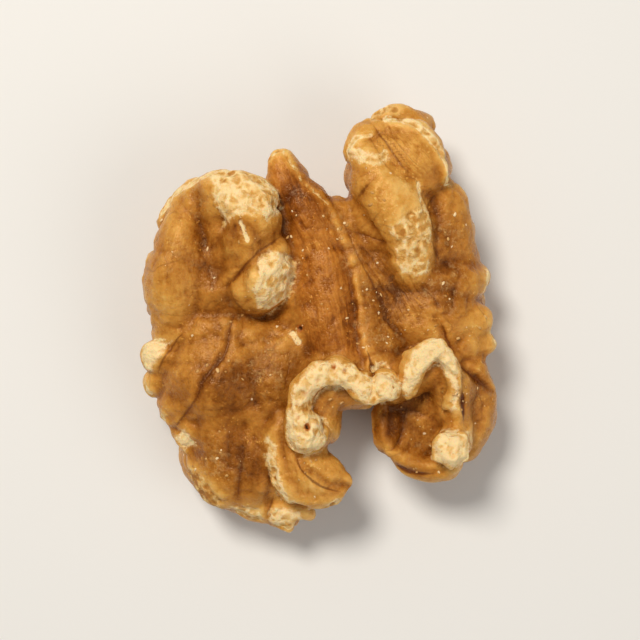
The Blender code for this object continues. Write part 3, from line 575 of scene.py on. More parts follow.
def catmull_rom(points, steps):
    """Points on a smooth curve through the given ones, with the radius carried along as a fourth number."""
    p = np.array(points, float)
    p = np.vstack([2 * p[0] - p[1], p, 2 * p[-1] - p[-2]])
    t = np.linspace(0, 1, steps, endpoint=False)[:, None]
    pieces = []
    for a, b, c, d in zip(p, p[1:], p[2:], p[3:]):
        slope = c - a
        bend = 2 * a - 5 * b + 4 * c - d
        twist = 3 * b - a - 3 * c + d
        pieces.append(b + 0.5 * (slope * t + bend * t**2 + twist * t**3))
    return np.vstack([*pieces, p[-2]])


def add_ball(centre, radii, collection):
    """An ellipsoid, in millimetres."""
    mesh = bpy.data.meshes.new("ball")
    bm = bmesh.new()
    place = Matrix.Translation(centre) @ Matrix.Diagonal((*radii, 1.0))
    bmesh.ops.create_uvsphere(
        bm, u_segments=BALL_SEGMENTS, v_segments=BALL_RINGS, radius=1.0, matrix=place
    )
    bm.to_mesh(mesh)
    bm.free()
    obj = bpy.data.objects.new("mass", mesh)
    collection.objects.link(obj)
    return obj


def add_fold(points, collection):
    """A round-ended fold of varying radius along a smooth route, in millimetres."""
    route = catmull_rom(points, CURVE_STEPS)
    curve = bpy.data.curves.new("fold", "CURVE")
    curve.dimensions = "3D"
    curve.bevel_depth = 1.0
    curve.bevel_resolution = TUBE_RESOLUTION
    curve.use_fill_caps = True
    spline = curve.splines.new("POLY")
    spline.points.add(len(route) - 1)
    for point, (x, y, z, radius) in zip(spline.points, route):
        point.co = (x, y, z, 1.0)
        point.radius = radius
    obj = bpy.data.objects.new("fold", curve)
    collection.objects.link(obj)
    for x, y, z, radius in (route[0], route[-1]):
        add_ball((x, y, z), (radius, radius, radius), collection)
    return obj


def fuse(collection):
    """One closed mesh round all the forms of a collection, from a voxel remesh of the lot."""
    graph = bpy.context.evaluated_depsgraph_get()
    bm = bmesh.new()
    for obj in list(collection.objects):
        mesh = bpy.data.meshes.new_from_object(obj.evaluated_get(graph))
        bm.from_mesh(mesh)
        bpy.data.meshes.remove(mesh)
        bpy.data.objects.remove(obj)
    mesh = bpy.data.meshes.new("kernel")
    bm.to_mesh(mesh)
    bm.free()
    obj = bpy.data.objects.new("kernel", mesh)
    collection.objects.link(obj)
    remesh = obj.modifiers.new("fuse", "REMESH")
    remesh.mode = "VOXEL"
    remesh.voxel_size = VOXEL
    smooth = obj.modifiers.new("soften", "SMOOTH")
    smooth.factor = SMOOTH_FACTOR
    smooth.iterations = SMOOTH_ROUNDS
    apply_modifiers(obj)
    return obj


def apply_modifiers(obj):
    graph = bpy.context.evaluated_depsgraph_get()
    mesh = bpy.data.meshes.new_from_object(obj.evaluated_get(graph))
    obj.modifiers.clear()
    obj.data = mesh


def read_points(mesh):
    points = np.empty(len(mesh.vertices) * 3)
    mesh.vertices.foreach_get("co", points)
    normals = np.empty(len(mesh.vertices) * 3)
    mesh.vertices.foreach_get("normal", normals)
    return points.reshape(-1, 3), normals.reshape(-1, 3)


def write_points(mesh, points):
    mesh.vertices.foreach_set("co", points.ravel())
    mesh.update()


def smoothstep(low, high, value):
    t = np.clip((value - low) / (high - low), 0.0, 1.0)
    return t * t * (3.0 - 2.0 * t)


def noise_at(points, size, seed):
    """Smooth noise from -1 to 1 at each point, with features of about the given size."""
    offset = Vector([seed * step for step in SEED_STEPS])
    return np.array([noise.noise(Vector(p) / size + offset) for p in points])


def noise_vectors(points, size, seed):
    return np.stack([noise_at(points, size, seed + k) for k in range(3)], axis=1)


def bell(distance, radius, power=2):
    """1 at no distance and near 0 beyond the radius: the higher the power, the flatter the top."""
    return np.exp(-((distance / radius) ** power))


def distance_to_spot(plan, centre):
    return np.linalg.norm(plan - centre, axis=1)


def spots(plan, rows, power=2):
    """For each centre, radius and amount: the amount at the centre, falling to near 0 beyond the radius."""
    return [amount * bell(distance_to_spot(plan, centre), radius, power) for centre, radius, amount in rows]


def distance_to_line(points, line):
    """Distance in plan from each point to a line through the given points."""
    xy = points[:, :2]
    nearest = np.full(len(points), np.inf)
    for start, end in zip(np.array(line, float), np.array(line[1:], float)):
        along = end - start
        t = np.clip(((xy - start) @ along) / (along @ along), 0.0, 1.0)
        nearest = np.minimum(nearest, np.linalg.norm(xy - start - t[:, None] * along, axis=1))
    return nearest


def warp(mesh):
    """Bends the round forms out of true, so that no fold stays a clean tube."""
    for step, (size, depth) in enumerate(WARPS):
        points, _ = read_points(mesh)
        write_points(mesh, points + noise_vectors(points, size, WARP_SEED + 3 * step) * depth)


def wrinkle(mesh):
    """Meandering swellings between sharp creases, deep on the back and sides, faint on the inner face."""
    for step, (size, back_depth, face_depth) in enumerate(WRINKLES):
        points, normals = read_points(mesh)
        bend = noise_vectors(points, size, BEND_SEED + 5 * step) * WRINKLE_BEND * size
        level = np.abs(noise_at((points + bend) * WRINKLE_STRETCH, size, WRINKLE_SEED + step))
        swelling = np.sqrt(np.clip(level / WRINKLE_LEVEL, 0.0, 1.0)) - WRINKLE_MIDDLE
        outside = smoothstep(*BACK_FACING, normals[:, 2])
        depth = face_depth + (back_depth - face_depth) * outside
        write_points(mesh, points + normals * (swelling * depth)[:, None])


def press_creases(mesh):
    points, normals = read_points(mesh)
    upward = smoothstep(*CREASE_FACING, normals[:, 2])
    drop = np.zeros(len(points))
    for line, width, depth in CREASES.values():
        drop = np.maximum(drop, depth * bell(distance_to_line(points, line), width))
    points[:, 2] -= drop * upward
    write_points(mesh, points)


def rest_flat(mesh):
    """Levels the lowest swellings into small flats that the kernel rests on, and lowers it onto them."""
    points, _ = read_points(mesh)
    points[:, 2] = np.maximum(points[:, 2], REST_LEVEL) - REST_LEVEL
    write_points(mesh, points)


def centre_in_plan(mesh):
    """Moves the middle of the box, in plan, to the origin, and returns where it was."""
    points, _ = read_points(mesh)
    middle = (points[:, :2].min(axis=0) + points[:, :2].max(axis=0)) / 2
    points[:, :2] -= middle
    write_points(mesh, points)
    return middle


def inside_distance(plan, outline):
    """Distance in plan to a closed outline, above 0 inside it and below 0 outside."""
    corners = np.array(outline, float)
    following = np.roll(corners, -1, axis=0)
    inside = np.zeros(len(plan), bool)
    for (ax, ay), (bx, by) in zip(corners, following):
        spans = (ay > plan[:, 1]) != (by > plan[:, 1])
        crossing = ax + (plan[:, 1] - ay) * (bx - ax) / (by - ay if by != ay else 1.0)
        inside ^= spans & (plan[:, 0] < crossing)
    distance = distance_to_line(plan, [*outline, outline[0]])
    return np.where(inside, distance, -distance)


def along_and_across(plan, line):
    """How far along a line in plan each point is and how far to the side of it, then the line's length."""
    corners = np.array(line, float)
    best = np.full(len(plan), np.inf)
    along = np.zeros(len(plan))
    across = np.zeros(len(plan))
    passed = 0.0
    for start, end in zip(corners, corners[1:]):
        step = end - start
        length = np.linalg.norm(step)
        t = np.clip(((plan - start) @ step) / length**2, 0.0, 1.0)
        offset = plan - start - t[:, None] * step
        distance = np.linalg.norm(offset, axis=1)
        side = np.sign(step[0] * offset[:, 1] - step[1] * offset[:, 0])
        nearer = distance < best
        best = np.where(nearer, distance, best)
        along = np.where(nearer, passed + t * length, along)
        across = np.where(nearer, distance * side, across)
        passed += length
    return along, across, passed


def worn_fields(plan):
    """How far inside a worn patch or line each point lies, below 0 outside, and how pale that one is."""
    worn = np.full(len(plan), -FAR)
    pale = np.zeros(len(plan))
    marks = [(paleness, inside_distance(plan, outline)) for paleness, outline in PATCHES.values()]
    for paleness, line, half_width in WORN_LINES.values():
        marks.append((paleness, (half_width - distance_to_line(plan, line)) * LINE_CRISPNESS))
    for paleness, depth in marks:
        pale[depth > worn] = paleness
        worn = np.maximum(worn, depth)
    return worn, pale


def vein_field(plan):
    """The nearest vein at each point: its distance with a sign for the side, bare distance, strength."""
    vein = np.tile((FAR, FAR, 0.0), (len(plan), 1))
    for weight, line in VEINS.values():
        along, across, length = along_and_across(plan, catmull_rom(line, CURVE_STEPS))
        strength = weight * smoothstep(0.0, VEIN_TAPER, along) * smoothstep(0.0, VEIN_TAPER, length - along)
        nearer = np.abs(across) < vein[:, 1]
        vein[nearer] = np.stack([across, np.abs(across), strength], axis=1)[nearer]
    return vein


def fibre_fields(plan, upper):
    """How fibrous the skin is at each point, and where the point lies across and along the fibres."""
    fibrous = np.zeros(len(plan))
    fibre = np.zeros((len(plan), 3))
    for step, (amount, outline, line) in enumerate(FIBROUS.values()):
        share = amount * smoothstep(*FIBRE_EDGE, inside_distance(plan, outline)) * upper
        along, across, _ = along_and_across(plan, catmull_rom(line, FIBRE_LINE_STEPS))
        place = [across + FIBRE_PARTING * step, along / FIBRE_STRETCH, np.zeros(len(plan))]
        here = share > fibrous
        fibre[here] = np.stack(place, axis=1)[here]
        fibrous = np.maximum(fibrous, share)
    return fibrous, fibre


def surface_fields(mesh):
    """What the skin is like at each point, in millimetres, read in plan before the form is bent."""
    points, normals = read_points(mesh)
    plan = points[:, :2]
    lowest = np.where(plan[:, 1] > UPPER_LOBES_Y, UPPER_MARKS_Z, LOWER_MARKS_Z)
    upper = smoothstep(*MARK_FACING, normals[:, 2]) * smoothstep(0.0, MARK_RISE, points[:, 2] - lowest)
    worn, pale = worn_fields(plan)
    vein = vein_field(plan)
    vein[:, 2] *= upper
    pits = [(centre, radius, darkness) for centre, radius, _, darkness in PITS.values()]
    fibrous, fibre = fibre_fields(plan, upper)
    return {
        "plan": plan,
        "worn": worn * upper - FAR * (1.0 - upper),
        "pale": pale,
        "vein": vein,
        "tone": sum(spots(plan, TONES.values())) * upper,
        "dust": np.max(spots(plan, DUST.values()), axis=0) * upper,
        "pit": np.max(spots(plan, pits, PIT_POWER), axis=0) * upper,
        "fibrous": fibrous,
        "fibre": fibre,
        "strap": smoothstep(*FIBRE_EDGE, inside_distance(plan, FIBROUS["strap"][1])) * upper,
    }


def fine_relief(mesh, fields):
    """The small relief: veins, fibres, goose-fleshed skin, crumbly worn flesh and pits."""
    points, normals = read_points(mesh)
    plan = fields["plan"]
    fibrous = fields["fibrous"]
    worn = smoothstep(*WORN_EDGE, fields["worn"])
    _, distance, strength = fields["vein"].T
    height = -VEIN_DEPTH * strength * bell(distance, VEIN_HALF_WIDTH)
    for step, (size, depth) in enumerate(RELIEF):
        height += noise_at(points, size, RELIEF_SEED + step) * depth * (1.0 - FIBRE_SMOOTHING * fibrous)
    height += noise_at(fields["fibre"], FIBRE_SPACING, FIBRE_SEED) * FIBRE_DEPTH * fibrous
    for step, (size, depth, sink) in enumerate(WORN_RELIEF):
        height += (noise_at(points, size, WORN_SEED + step) * depth - sink) * worn
    size, depth, width = RIDGE_LUMPS
    ridge = bell(distance_to_line(plan, WORN_LINES["strap_ridge"][1]), width)
    height += noise_at(points, size, RIDGE_SEED) * depth * ridge
    for centre, radius, depth, _ in PITS.values():
        hole = bell(distance_to_spot(plan, centre), radius, PIT_POWER)
        height -= depth * hole * smoothstep(*PIT_FACING, normals[:, 2])
    write_points(mesh, points + normals * height[:, None])


def neighbour_mean(values, edges, counts):
    total = np.empty_like(values)
    for axis in range(values.shape[1]):
        column = values[:, axis]
        total[:, axis] = np.bincount(edges[:, 0], column[edges[:, 1]], len(values))
        total[:, axis] += np.bincount(edges[:, 1], column[edges[:, 0]], len(values))
    return total / counts[:, None]


def hollows(mesh, rounds):
    """How far each point lies below the smoothed surface round it, in millimetres: above 0 in a crease."""
    points, normals = read_points(mesh)
    edges = np.empty(len(mesh.edges) * 2, int)
    mesh.edges.foreach_get("vertices", edges)
    edges = edges.reshape(-1, 2)
    counts = np.bincount(edges.ravel(), minlength=len(points))
    smooth = points
    for _ in range(rounds):
        smooth = neighbour_mean(smooth, edges, counts)
    return ((smooth - points) * normals).sum(axis=1)


def store(mesh, name, values):
    kind = "FLOAT_VECTOR" if values.ndim == 2 else "FLOAT"
    attribute = mesh.attributes.new(name, kind, "POINT")
    attribute.data.foreach_set("vector" if values.ndim == 2 else "value", values.ravel())


class Nodes:
    """Short calls that add and join the nodes of one material."""

    def __init__(self, material):
        material.use_nodes = True
        self.tree = material.node_tree
        self.shader = self.tree.nodes["Principled BSDF"]

    def add(self, kind, **settings):
        node = self.tree.nodes.new(kind)
        for name, value in settings.items():
            setattr(node, name, value)
        return node

    def put(self, socket, value):
        if isinstance(value, bpy.types.NodeSocket):
            self.tree.links.new(value, socket)
        else:
            socket.default_value = value

    def attribute(self, name, output="Fac"):
        return self.add("ShaderNodeAttribute", attribute_name=name).outputs[output]

    def math(self, operation, *values, clamp=False):
        node = self.add("ShaderNodeMath", operation=operation, use_clamp=clamp)
        for socket, value in zip(node.inputs, values):
            self.put(socket, value)
        return node.outputs[0]

    def step(self, value, low, high):
        """0 below low and 1 above high, smooth between."""
        node = self.add("ShaderNodeMapRange", interpolation_type="SMOOTHSTEP")
        for socket, number in zip(node.inputs, (value, low, high, 0.0, 1.0)):
            self.put(socket, number)
        return node.outputs[0]

    def fade(self, value, low, high):
        """1 below low and 0 above high, smooth between."""
        return self.math("SUBTRACT", 1.0, self.step(value, low, high))

    def total(self, start, weights, values, clamp=False):
        """The start plus each of the named values times its weight. A clamp keeps the sum from 0 to 1."""
        level = start
        for name, weight in weights.items():
            level = self.math("MULTIPLY_ADD", values[name], weight, level)
        level.node.use_clamp = clamp
        return level

    def mix(self, factor, first, second, blend="MIX"):
        node = self.add("ShaderNodeMix", data_type="RGBA", blend_type=blend)
        for socket, value in zip((node.inputs[0], node.inputs[6], node.inputs[7]), (factor, first, second)):
            self.put(socket, value)
        return node.outputs[2]

    def noise(self, vector, size, detail=3.0, roughness=0.55, output="Fac"):
        """Noise from 0 to 1 with features of the given size in the vector's own unit."""
        node = self.add("ShaderNodeTexNoise")
        for name, value in (
            ("Vector", vector),
            ("Scale", 1.0 / size),
            ("Detail", detail),
            ("Roughness", roughness),
        ):
            self.put(node.inputs[name], value)
        return node.outputs[output]

    def swing(self, vector, size, detail, roughness):
        """Noise from -0.5 to 0.5."""
        return self.math("SUBTRACT", self.noise(vector, size, detail, roughness), 0.5)

    def shaken(self, vector, size, amount, where=None):
        """The vector moved about by noise, so that what is read there loses its straight edges."""
        node = self.add("ShaderNodeVectorMath", operation="MULTIPLY_ADD")
        self.put(node.inputs[0], self.noise(where or vector, size, 2.0, output="Color"))
        self.put(node.inputs[1], (amount, amount, amount))
        self.put(node.inputs[2], vector)
        return node.outputs[0]

    def ramp(self, value, stops):
        node = self.add("ShaderNodeValToRGB")
        elements = node.color_ramp.elements
        while len(elements) < len(stops):
            elements.new(0.5)
        for element, (position, colour) in zip(elements, stops):
            element.position = position
            element.color = (*colour, 1.0)
        self.put(node.inputs[0], value)
        return node.outputs["Color"]

    def dress(self, settings):
        """Puts each value on the shader's socket of that name."""
        for name, value in settings.items():
            self.put(self.shader.inputs[name], value)


# Colours of the skin from its darkest to its lightest, then the flesh, in linear light
SKIN_RAMP = [
    (0.0, (0.11, 0.026, 0.002)),
    (0.25, (0.27, 0.083, 0.007)),
    (0.5, (0.48, 0.19, 0.026)),
    (0.75, (0.66, 0.32, 0.06)),
    (1.0, (0.80, 0.48, 0.14)),
]
FLESH_RAMP = [
    (0.0, (0.44, 0.17, 0.025)),
    (0.35, (0.66, 0.34, 0.08)),
    (0.65, (0.82, 0.53, 0.20)),
    (1.0, (0.94, 0.71, 0.37)),
]
VEIN_COLOUR = (0.13, 0.028, 0.004, 1.0)
PIT_RIM_COLOUR = (0.46, 0.13, 0.02, 1.0)
PIT_COLOUR = (0.035, 0.009, 0.003, 1.0)
STRAP_TINT = (1.0, 0.87, 0.78, 1.0)
DUST_COLOUR = (0.63, 0.37, 0.13, 1.0)
# Colour of the light specks: dust, partly painted glints
SPECK_AND_GLINT_COLOUR = (0.90, 0.70, 0.42, 1.0)
CRUMB_RAMP = [
    (0.0, (0.48, 0.23, 0.06)),
    (0.4, (0.68, 0.40, 0.14)),
    (1.0, (0.92, 0.70, 0.40)),
]
SHEEN_TINT = (1.0, 0.68, 0.40, 1.0)


# Noises of the skin from -0.5 to 0.5: size in millimetres, detail, roughness
SWINGS = {
    "clouds": (3.2, 4.0, 0.6),
    "mottle": (0.9, 5.0, 0.65),
    "grain": (0.42, 4.0, 0.7),
    "skin_folds": (0.8, 4.0, 0.6),
    "hair": (4.0, 2.0, 0.4),
}
FIBRE_NOISE = (FIBRE_SPACING * 0.75, 4.0, 0.6)
PORES = (0.28, 3.0, 0.6)

# Noises that come in as spots: size, detail, roughness, the levels where a spot starts and is whole
SPOTS = {
    "dusty": (1.7, 3.0, 0.55, 0.45, 0.65),
    "dust_fleck_and_glint": (0.33, 2.0, 0.7, 0.58, 0.72),
    "chalk": (0.55, 5.0, 0.72, 0.5, 0.66),
    "haired": (2.7, 2.0, 0.55, 0.45, 0.65),
    "webbed": (1.3, 2.0, 0.55, 0.3, 0.55),
    "curds": (0.62, 4.0, 0.6, 0.47, 0.63),
    "golden": (1.15, 3.0, 0.55, 0.5, 0.64),
}

# How noise moves the fibres, the web on the flesh and the specks about: its size, the amount
FIBRE_SHAKE = (2.2, 0.9)
WEB_SHAKE = (0.7, 0.6)
SPECK_SHAKE = (0.2, 0.22)

# How light the skin is, and what lightens it (above 0) or darkens it (below 0); its darkening in creases and
# wide hollows is painted shade
SKIN_LEVEL = 0.42
SKIN_WEIGHTS = {
    "tone": 0.42,
    "clouds": 0.6,
    "mottle": 0.5,
    "grain": 0.3,
    "painted_hollow_shade": -0.45,
    "painted_crease_shade": -1.8,
    "worn_side": 0.2,
    "strands": 1.0,
    "creased": 0.5,
    # Light flecks on dusty skin: partly dust, partly painted glints
    "dust_fleck_and_glint": 0.4,
}

# The most that a crease's painted shade counts, where skin beside worn flesh lightens, a fold's reach, shares
# of dust and tint
DEEPEST_CREASE = 0.1
WORN_SIDE_EDGE = (-1.1, 0.0)
SKIN_FOLD_LEVEL = 0.12
DUST_SHARE = 0.55
STRAP_SHARE = 0.8

# A vein's dark line: its waver, its width and what strength adds to that, its edges, reach and darkness
VEIN_WAVER = 0.3
VEIN_WIDTH = 0.03
VEIN_WIDENING = 0.09
VEIN_EDGE = (0.25, 1.1)
VEIN_REACH = (0.3, 0.5)
VEIN_DARKNESS = 0.7

# Hairlines: where their edges lie in the noise, and how much of the vein colour they take
HAIR_EDGE = (0.002, 0.016)
HAIR_SHARE = 0.3

# What frays the edge of the worn flesh, and where on it the flesh comes in
EDGE_WEIGHTS = {"mottle": 1.3, "grain": 0.5}
BARE_EDGE = (-0.12, 0.2)

# How light the flesh is, and what lightens or darkens it; its darkening in hollows is painted shade
FLESH_LEVEL = -0.16
FLESH_WEIGHTS = {
    "pale": 0.85,
    "lines": 0.5,
    "curds": 0.36,
    "golden": -0.27,
    "border": 0.35,
    "mottle": 0.7,
    "grain": 0.6,
    "painted_hollow_shade": -0.6,
}

# The web of light lines, the light border, and the paleness that the border and the golden spots need
WEB_SIZE = 0.95
WEB_EDGE = (0.03, 0.26)
BORDER_WAVER = 0.5
BORDER_EDGE = (0.1, 0.45)
BORDER_PALENESS = (0.25, 0.5)
GOLDEN_PALENESS = (0.9, 1.0)

# Light specks, partly dust and partly painted glints: spacing of their cells, the share of cells without one,
# radius and what chance adds to it, opacity
SPECK_SPACING = 0.95
SPECK_GAPS = 0.62
SPECK_RADIUS = 0.05
SPECK_SPREAD = 0.07
SPECK_SHARE = 0.85

# Where the rim and the dark middle of a pit come in
PIT_RIM_EDGE = (0.0, 0.5)
PIT_EDGE = (0.35, 1.0)

# How rough the skin is and what roughens it, then the strength and the heights of its bumps
SKIN_ROUGHNESS = 0.31
ROUGHNESS_WEIGHTS = {"mottle": 0.5, "bare": 0.30}
BUMP_STRENGTH = 0.8
BUMP_WEIGHTS = {
    "pores": 0.035,
    "mottle": 0.10,
    "strands": 0.10,
    "creased": 0.22,
    "dust_fleck_and_glint": 0.03,
    "chalk": 0.03,
    "vein": -0.04,
    "bare_grain": 0.16,
    "bare_lumps": 0.07,
    "bare": -0.05,
    "speck_and_glint": 0.06,
}
SKIN_SHADER = {
    "Subsurface Weight": 0.3,
    "Subsurface Radius": (1.0, 0.5, 0.25),
    "Subsurface Scale": 0.35 * MM,
    "IOR": 1.46,
    "Specular IOR Level": 0.45,
    "Specular Tint": SHEEN_TINT,
}
CRUMB_ROUGHNESS = 0.55


def vein_share(n, mottle):
    """How much of the vein colour shows: a wavering line, wider and darker where the vein is strong."""
    parts = n.add("ShaderNodeSeparateXYZ")
    n.put(parts.inputs[0], n.attribute("vein", "Vector"))
    across, distance, strength = parts.outputs
    off_line = n.math("ABSOLUTE", n.math("MULTIPLY_ADD", mottle, VEIN_WAVER, across))
    width = n.math("MULTIPLY_ADD", strength, VEIN_WIDENING, VEIN_WIDTH)
    drawn = n.fade(n.math("DIVIDE", off_line, width), *VEIN_EDGE)
    line = n.math("MULTIPLY", drawn, n.fade(distance, *VEIN_REACH))
    return n.math("MULTIPLY", line, n.math("MULTIPLY", strength, VEIN_DARKNESS), clamp=True)


def skin_colour(n, mm, look):
    """The brown skin: a ramp from dark to light, with painted shade in creases and hollows and light flecks
    that are partly painted glints, then dust, the strap's tint, veins and hairlines.
    """
    threads = n.swing(n.shaken(n.attribute("fibre", "Vector"), *FIBRE_SHAKE, mm), *FIBRE_NOISE)
    look["strands"] = n.math("MULTIPLY", threads, n.attribute("fibrous"))
    look["creased"] = n.math("SUBTRACT", SKIN_FOLD_LEVEL, n.math("ABSOLUTE", look["skin_folds"]))
    # Light flecks on dusty skin: partly dust, partly painted glints
    look["dust_fleck_and_glint"] = n.math("MULTIPLY", look["dust_fleck_and_glint"], look["dusty"])
    look["chalk"] = n.math("MULTIPLY", look["chalk"], n.attribute("dust"))
    # Painted shade: the skin darkens with how deep it lies in a crease
    look["painted_crease_shade"] = n.math("MINIMUM", n.attribute("painted_crease_shade"), DEEPEST_CREASE)
    look["worn_side"] = n.step(look["worn"], *WORN_SIDE_EDGE)
    skin = n.ramp(n.total(SKIN_LEVEL, SKIN_WEIGHTS, look, clamp=True), SKIN_RAMP)
    skin = n.mix(n.math("MULTIPLY", look["chalk"], DUST_SHARE), skin, DUST_COLOUR)
    tinted = n.mix(1.0, skin, STRAP_TINT, "MULTIPLY")
    skin = n.mix(n.math("MULTIPLY", n.attribute("strap"), STRAP_SHARE), skin, tinted)
    look["vein"] = vein_share(n, look["mottle"])
    skin = n.mix(look["vein"], skin, VEIN_COLOUR)
    hair = n.math("MULTIPLY", n.fade(n.math("ABSOLUTE", look["hair"]), *HAIR_EDGE), look["haired"])
    return n.mix(n.math("MULTIPLY", hair, HAIR_SHARE), skin, VEIN_COLOUR)


def flesh_colour(n, mm, look):
    """The cream flesh, with a web of light lines, curds, golden spots, a light border and painted shade in its
    hollows.
    """
    web = n.add("ShaderNodeTexVoronoi", feature="DISTANCE_TO_EDGE")
    n.put(web.inputs["Vector"], n.shaken(mm, *WEB_SHAKE))
    n.put(web.inputs["Scale"], 1.0 / WEB_SIZE)
    look["lines"] = n.math("MULTIPLY", n.fade(web.outputs["Distance"], *WEB_EDGE), look["webbed"])
    border = n.fade(n.math("MULTIPLY_ADD", look["mottle"], BORDER_WAVER, look["worn"]), *BORDER_EDGE)
    look["border"] = n.math("MULTIPLY", border, n.step(look["pale"], *BORDER_PALENESS))
    look["golden"] = n.math("MULTIPLY", look["golden"], n.fade(look["pale"], *GOLDEN_PALENESS))
    return n.ramp(n.total(FLESH_LEVEL, FLESH_WEIGHTS, look, clamp=True), FLESH_RAMP)


def speck_and_glint_share(n, mm, bare):
    """Small round light specks on the skin, partly dust and partly painted glints, in some of the cells of a
    scattered pattern.
    """
    cells = n.add("ShaderNodeTexVoronoi")
    n.put(cells.inputs["Vector"], n.shaken(mm, *SPECK_SHAKE))
    n.put(cells.inputs["Scale"], 1.0 / SPECK_SPACING)
    chance = n.add("ShaderNodeSeparateColor")
    n.put(chance.inputs[0], cells.outputs["Color"])
    chosen = n.math("GREATER_THAN", chance.outputs[0], SPECK_GAPS)
    radius = n.math("MULTIPLY_ADD", chance.outputs[1], SPECK_SPREAD, SPECK_RADIUS)
    dot = n.math("LESS_THAN", cells.outputs["Distance"], radius)
    return n.math("MULTIPLY", n.math("MULTIPLY", chosen, dot), n.math("SUBTRACT", 1.0, bare))


def skin_material():
    """The skin and flesh, from noises in millimetres and from what is stored on the kernel's points."""
    material = bpy.data.materials.new("walnut_skin")
    n = Nodes(material)
    scaled = n.add("ShaderNodeVectorMath", operation="SCALE")
    n.put(scaled.inputs[0], n.add("ShaderNodeTexCoord").outputs["Object"])
    n.put(scaled.inputs["Scale"], 1.0 / MM)
    mm = scaled.outputs[0]
    look = {name: n.attribute(name) for name in ("worn", "pale", "tone", "painted_hollow_shade")}
    look["pores"] = n.noise(mm, *PORES)
    for name, (size, detail, roughness) in SWINGS.items():
        look[name] = n.swing(mm, size, detail, roughness)
    for name, (size, detail, roughness, low, high) in SPOTS.items():
        look[name] = n.step(n.noise(mm, size, detail, roughness), low, high)

    bare = n.step(n.total(look["worn"], EDGE_WEIGHTS, look), *BARE_EDGE)
    colour = n.mix(bare, skin_colour(n, mm, look), flesh_colour(n, mm, look))
    speck_and_glint = speck_and_glint_share(n, mm, bare)
    # Light specks: partly dust, partly painted glints
    colour = n.mix(n.math("MULTIPLY", speck_and_glint, SPECK_SHARE), colour, SPECK_AND_GLINT_COLOUR)
    pit = n.attribute("pit")
    colour = n.mix(n.step(pit, *PIT_RIM_EDGE), colour, PIT_RIM_COLOUR)
    colour = n.mix(n.step(pit, *PIT_EDGE), colour, PIT_COLOUR)

    look["bare"] = bare
    look["speck_and_glint"] = speck_and_glint
    look["bare_grain"] = n.math("MULTIPLY", look["grain"], bare)
    look["bare_lumps"] = n.math("MULTIPLY", n.math("MAXIMUM", look["lines"], look["curds"]), bare)
    bump = n.add("ShaderNodeBump")
    n.put(bump.inputs["Strength"], BUMP_STRENGTH)
    n.put(bump.inputs["Distance"], MM)
    n.put(bump.inputs["Height"], n.total(0.0, BUMP_WEIGHTS, look))
    roughness = n.total(SKIN_ROUGHNESS, ROUGHNESS_WEIGHTS, look, clamp=True)
    n.dress({"Base Color": colour, "Roughness": roughness, "Normal": bump.outputs[0], **SKIN_SHADER})
    return material


def crumb_material():
    material = bpy.data.materials.new("walnut_crumb")
    n = Nodes(material)
    colour = n.ramp(n.attribute("shade"), CRUMB_RAMP)
    n.dress({"Base Color": colour, "Roughness": CRUMB_ROUGHNESS, "Specular Tint": SHEEN_TINT})
    return material


def make_kernel():
    """The kernel's fine mesh, in metres, with what its material reads stored on its points."""
    collection = bpy.data.collections.new("walnut_kernel")
    bpy.context.scene.collection.children.link(collection)
    for centre, radii in MASSES.values():
        add_ball(centre, radii, collection)
    for points in FOLDS.values():
        add_fold(points, collection)
    kernel = fuse(collection)
    kernel.name = "kernel_skin"
    mesh = kernel.data
    fields = surface_fields(mesh)
    warp(mesh)
    wrinkle(mesh)
    press_creases(mesh)
    fine_relief(mesh, fields)
    rest_flat(mesh)
    middle = centre_in_plan(mesh)
    for name in ("worn", "pale", "vein", "tone", "dust", "pit", "strap", "fibrous", "fibre"):
        store(mesh, name, fields[name])
    # How deep each point lies in a crease and in a wide hollow, which the material darkens as painted shade
    store(mesh, "painted_crease_shade", hollows(mesh, CREASE_ROUNDS))
    store(mesh, "painted_hollow_shade", hollows(mesh, HOLLOW_ROUNDS))
    mesh.transform(Matrix.Scale(MM, 4))
    mesh.shade_smooth()
    mesh.materials.append(skin_material())
    return kernel, middle


def add_crumb(bm, place, normal, size, rng):
    """A lumpy flattened grain, sunk part of the way into the skin. Returns its points."""
    spin = Matrix.Rotation(rng.uniform(0.0, CRUMB_TURN), 3, "Z")
    turn = normal.to_track_quat("Z", "Y").to_matrix() @ spin
    stretch = size * rng.uniform(*CRUMB_STRETCH)
    offset = Vector(rng.uniform(-CRUMB_NOISE_SPAN, CRUMB_NOISE_SPAN, 3))
    grain = bmesh.ops.create_icosphere(bm, subdivisions=2, radius=1.0)["verts"]
    for vert in grain:
        swollen = vert.co * (1.0 + CRUMB_LUMPS * noise.noise(vert.co * CRUMB_LUMP_SCALE + offset))
        vert.co = place + turn @ Vector(swollen[k] * stretch[k] for k in range(3))
    return grain


def make_crumbs(kernel, middle):
    """All the crumbs as one mesh, in metres, each on the skin below its place in plan."""
    rng = np.random.default_rng(CRUMB_SEED)
    bm = bmesh.new()
    shade = bm.verts.layers.float.new("shade")
    for centre, radius, count in CRUMBS.values():
        for _ in range(count):
            x, y = (centre + rng.normal(0.0, radius / 2, 2) - middle) * MM
            found, place, normal, _ = kernel.ray_cast(Vector((x, y, 1.0)), Vector((0.0, 0.0, -1.0)))
            size = rng.uniform(*CRUMB_SIZES) * MM
            lightness = rng.uniform(0.0, 1.0) ** CRUMB_SHADE_POWER
            kept = rng.uniform(0.0, 1.0) < CRUMB_SHARE
            if not kept or not found or normal.z < CRUMB_FACING:
                continue
            for vert in add_crumb(bm, place, normal, size, rng):
                vert[shade] = lightness
    mesh = bpy.data.meshes.new("kernel_crumbs")
    bm.to_mesh(mesh)
    bm.free()
    mesh.shade_smooth()
    mesh.materials.append(crumb_material())
    crumbs = bpy.data.objects.new("kernel_crumbs", mesh)
    bpy.data.collections["walnut_kernel"].objects.link(crumbs)
    return crumbs


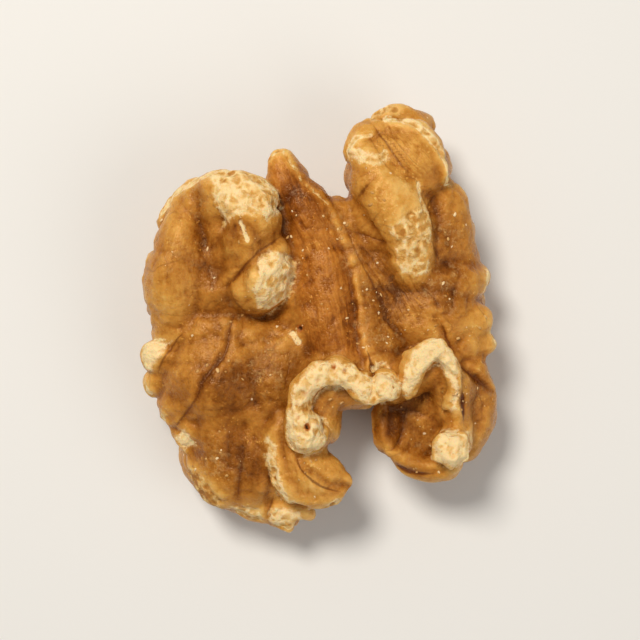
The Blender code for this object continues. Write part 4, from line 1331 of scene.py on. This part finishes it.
# The stage, in metres and watts: the floor, then each light's place, size, power and colour
FLOOR_SIZE = 2.0
FLOOR_COLOUR = (0.80, 0.79, 0.77, 1.0)
FLOOR_ROUGHNESS = 0.7
LIGHTS = {
    "key": ((-0.09, 0.13, 0.30), 0.10, 0.9, (1.0, 0.95, 0.87)),
    "fill": ((0.20, -0.12, 0.22), 0.25, 0.25, (1.0, 0.97, 0.92)),
}
WORLD_COLOUR = (1.0, 0.98, 0.95, 1.0)
WORLD_STRENGTH = 0.25

# The photograph looks straight down on the kernel, which here fills two thirds of the frame's height
CAMERA_LENS = 100.0
CLIP_START = 0.01
FRAME_HEIGHT = 0.050


def make_floor():
    bpy.ops.mesh.primitive_plane_add(size=FLOOR_SIZE)
    floor = bpy.context.object
    floor.name = "floor"
    material = bpy.data.materials.new("floor_paint")
    Nodes(material).dress({"Base Color": FLOOR_COLOUR, "Roughness": FLOOR_ROUGHNESS})
    floor.data.materials.append(material)


def make_lights(middle):
    """Soft round lights aimed at the kernel's middle, and a faint even light from all round."""
    for name, (place, size, power, colour) in LIGHTS.items():
        light = bpy.data.lights.new(name, "AREA")
        light.shape = "DISK"
        light.size = size
        light.energy = power
        light.color = colour
        obj = bpy.data.objects.new(name, light)
        obj.location = place
        obj.rotation_euler = (Vector(place) - middle).to_track_quat("Z", "Y").to_euler()
        bpy.context.scene.collection.objects.link(obj)
    world = bpy.data.worlds.new("studio")
    world.use_nodes = True
    background = world.node_tree.nodes["Background"]
    background.inputs["Color"].default_value = WORLD_COLOUR
    background.inputs["Strength"].default_value = WORLD_STRENGTH
    bpy.context.scene.world = world
    bpy.context.scene.view_settings.view_transform = "Standard"


def make_camera(middle):
    camera = bpy.data.cameras.new("camera")
    camera.lens = CAMERA_LENS
    camera.clip_start = CLIP_START
    obj = bpy.data.objects.new("camera", camera)
    distance = FRAME_HEIGHT * camera.lens / camera.sensor_width
    obj.location = middle + Vector((0.0, 0.0, distance))
    bpy.context.scene.collection.objects.link(obj)
    bpy.context.scene.camera = obj


def main():
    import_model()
    cad_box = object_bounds()
    middle = (cad_box[0] + cad_box[1]) / 2
    kernel, table_middle = make_kernel()
    for piece in (kernel, make_crumbs(kernel, table_middle)):
        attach(piece, "root")
        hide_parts("kernel")
    make_floor()
    make_lights(middle)
    make_camera(middle)


main()
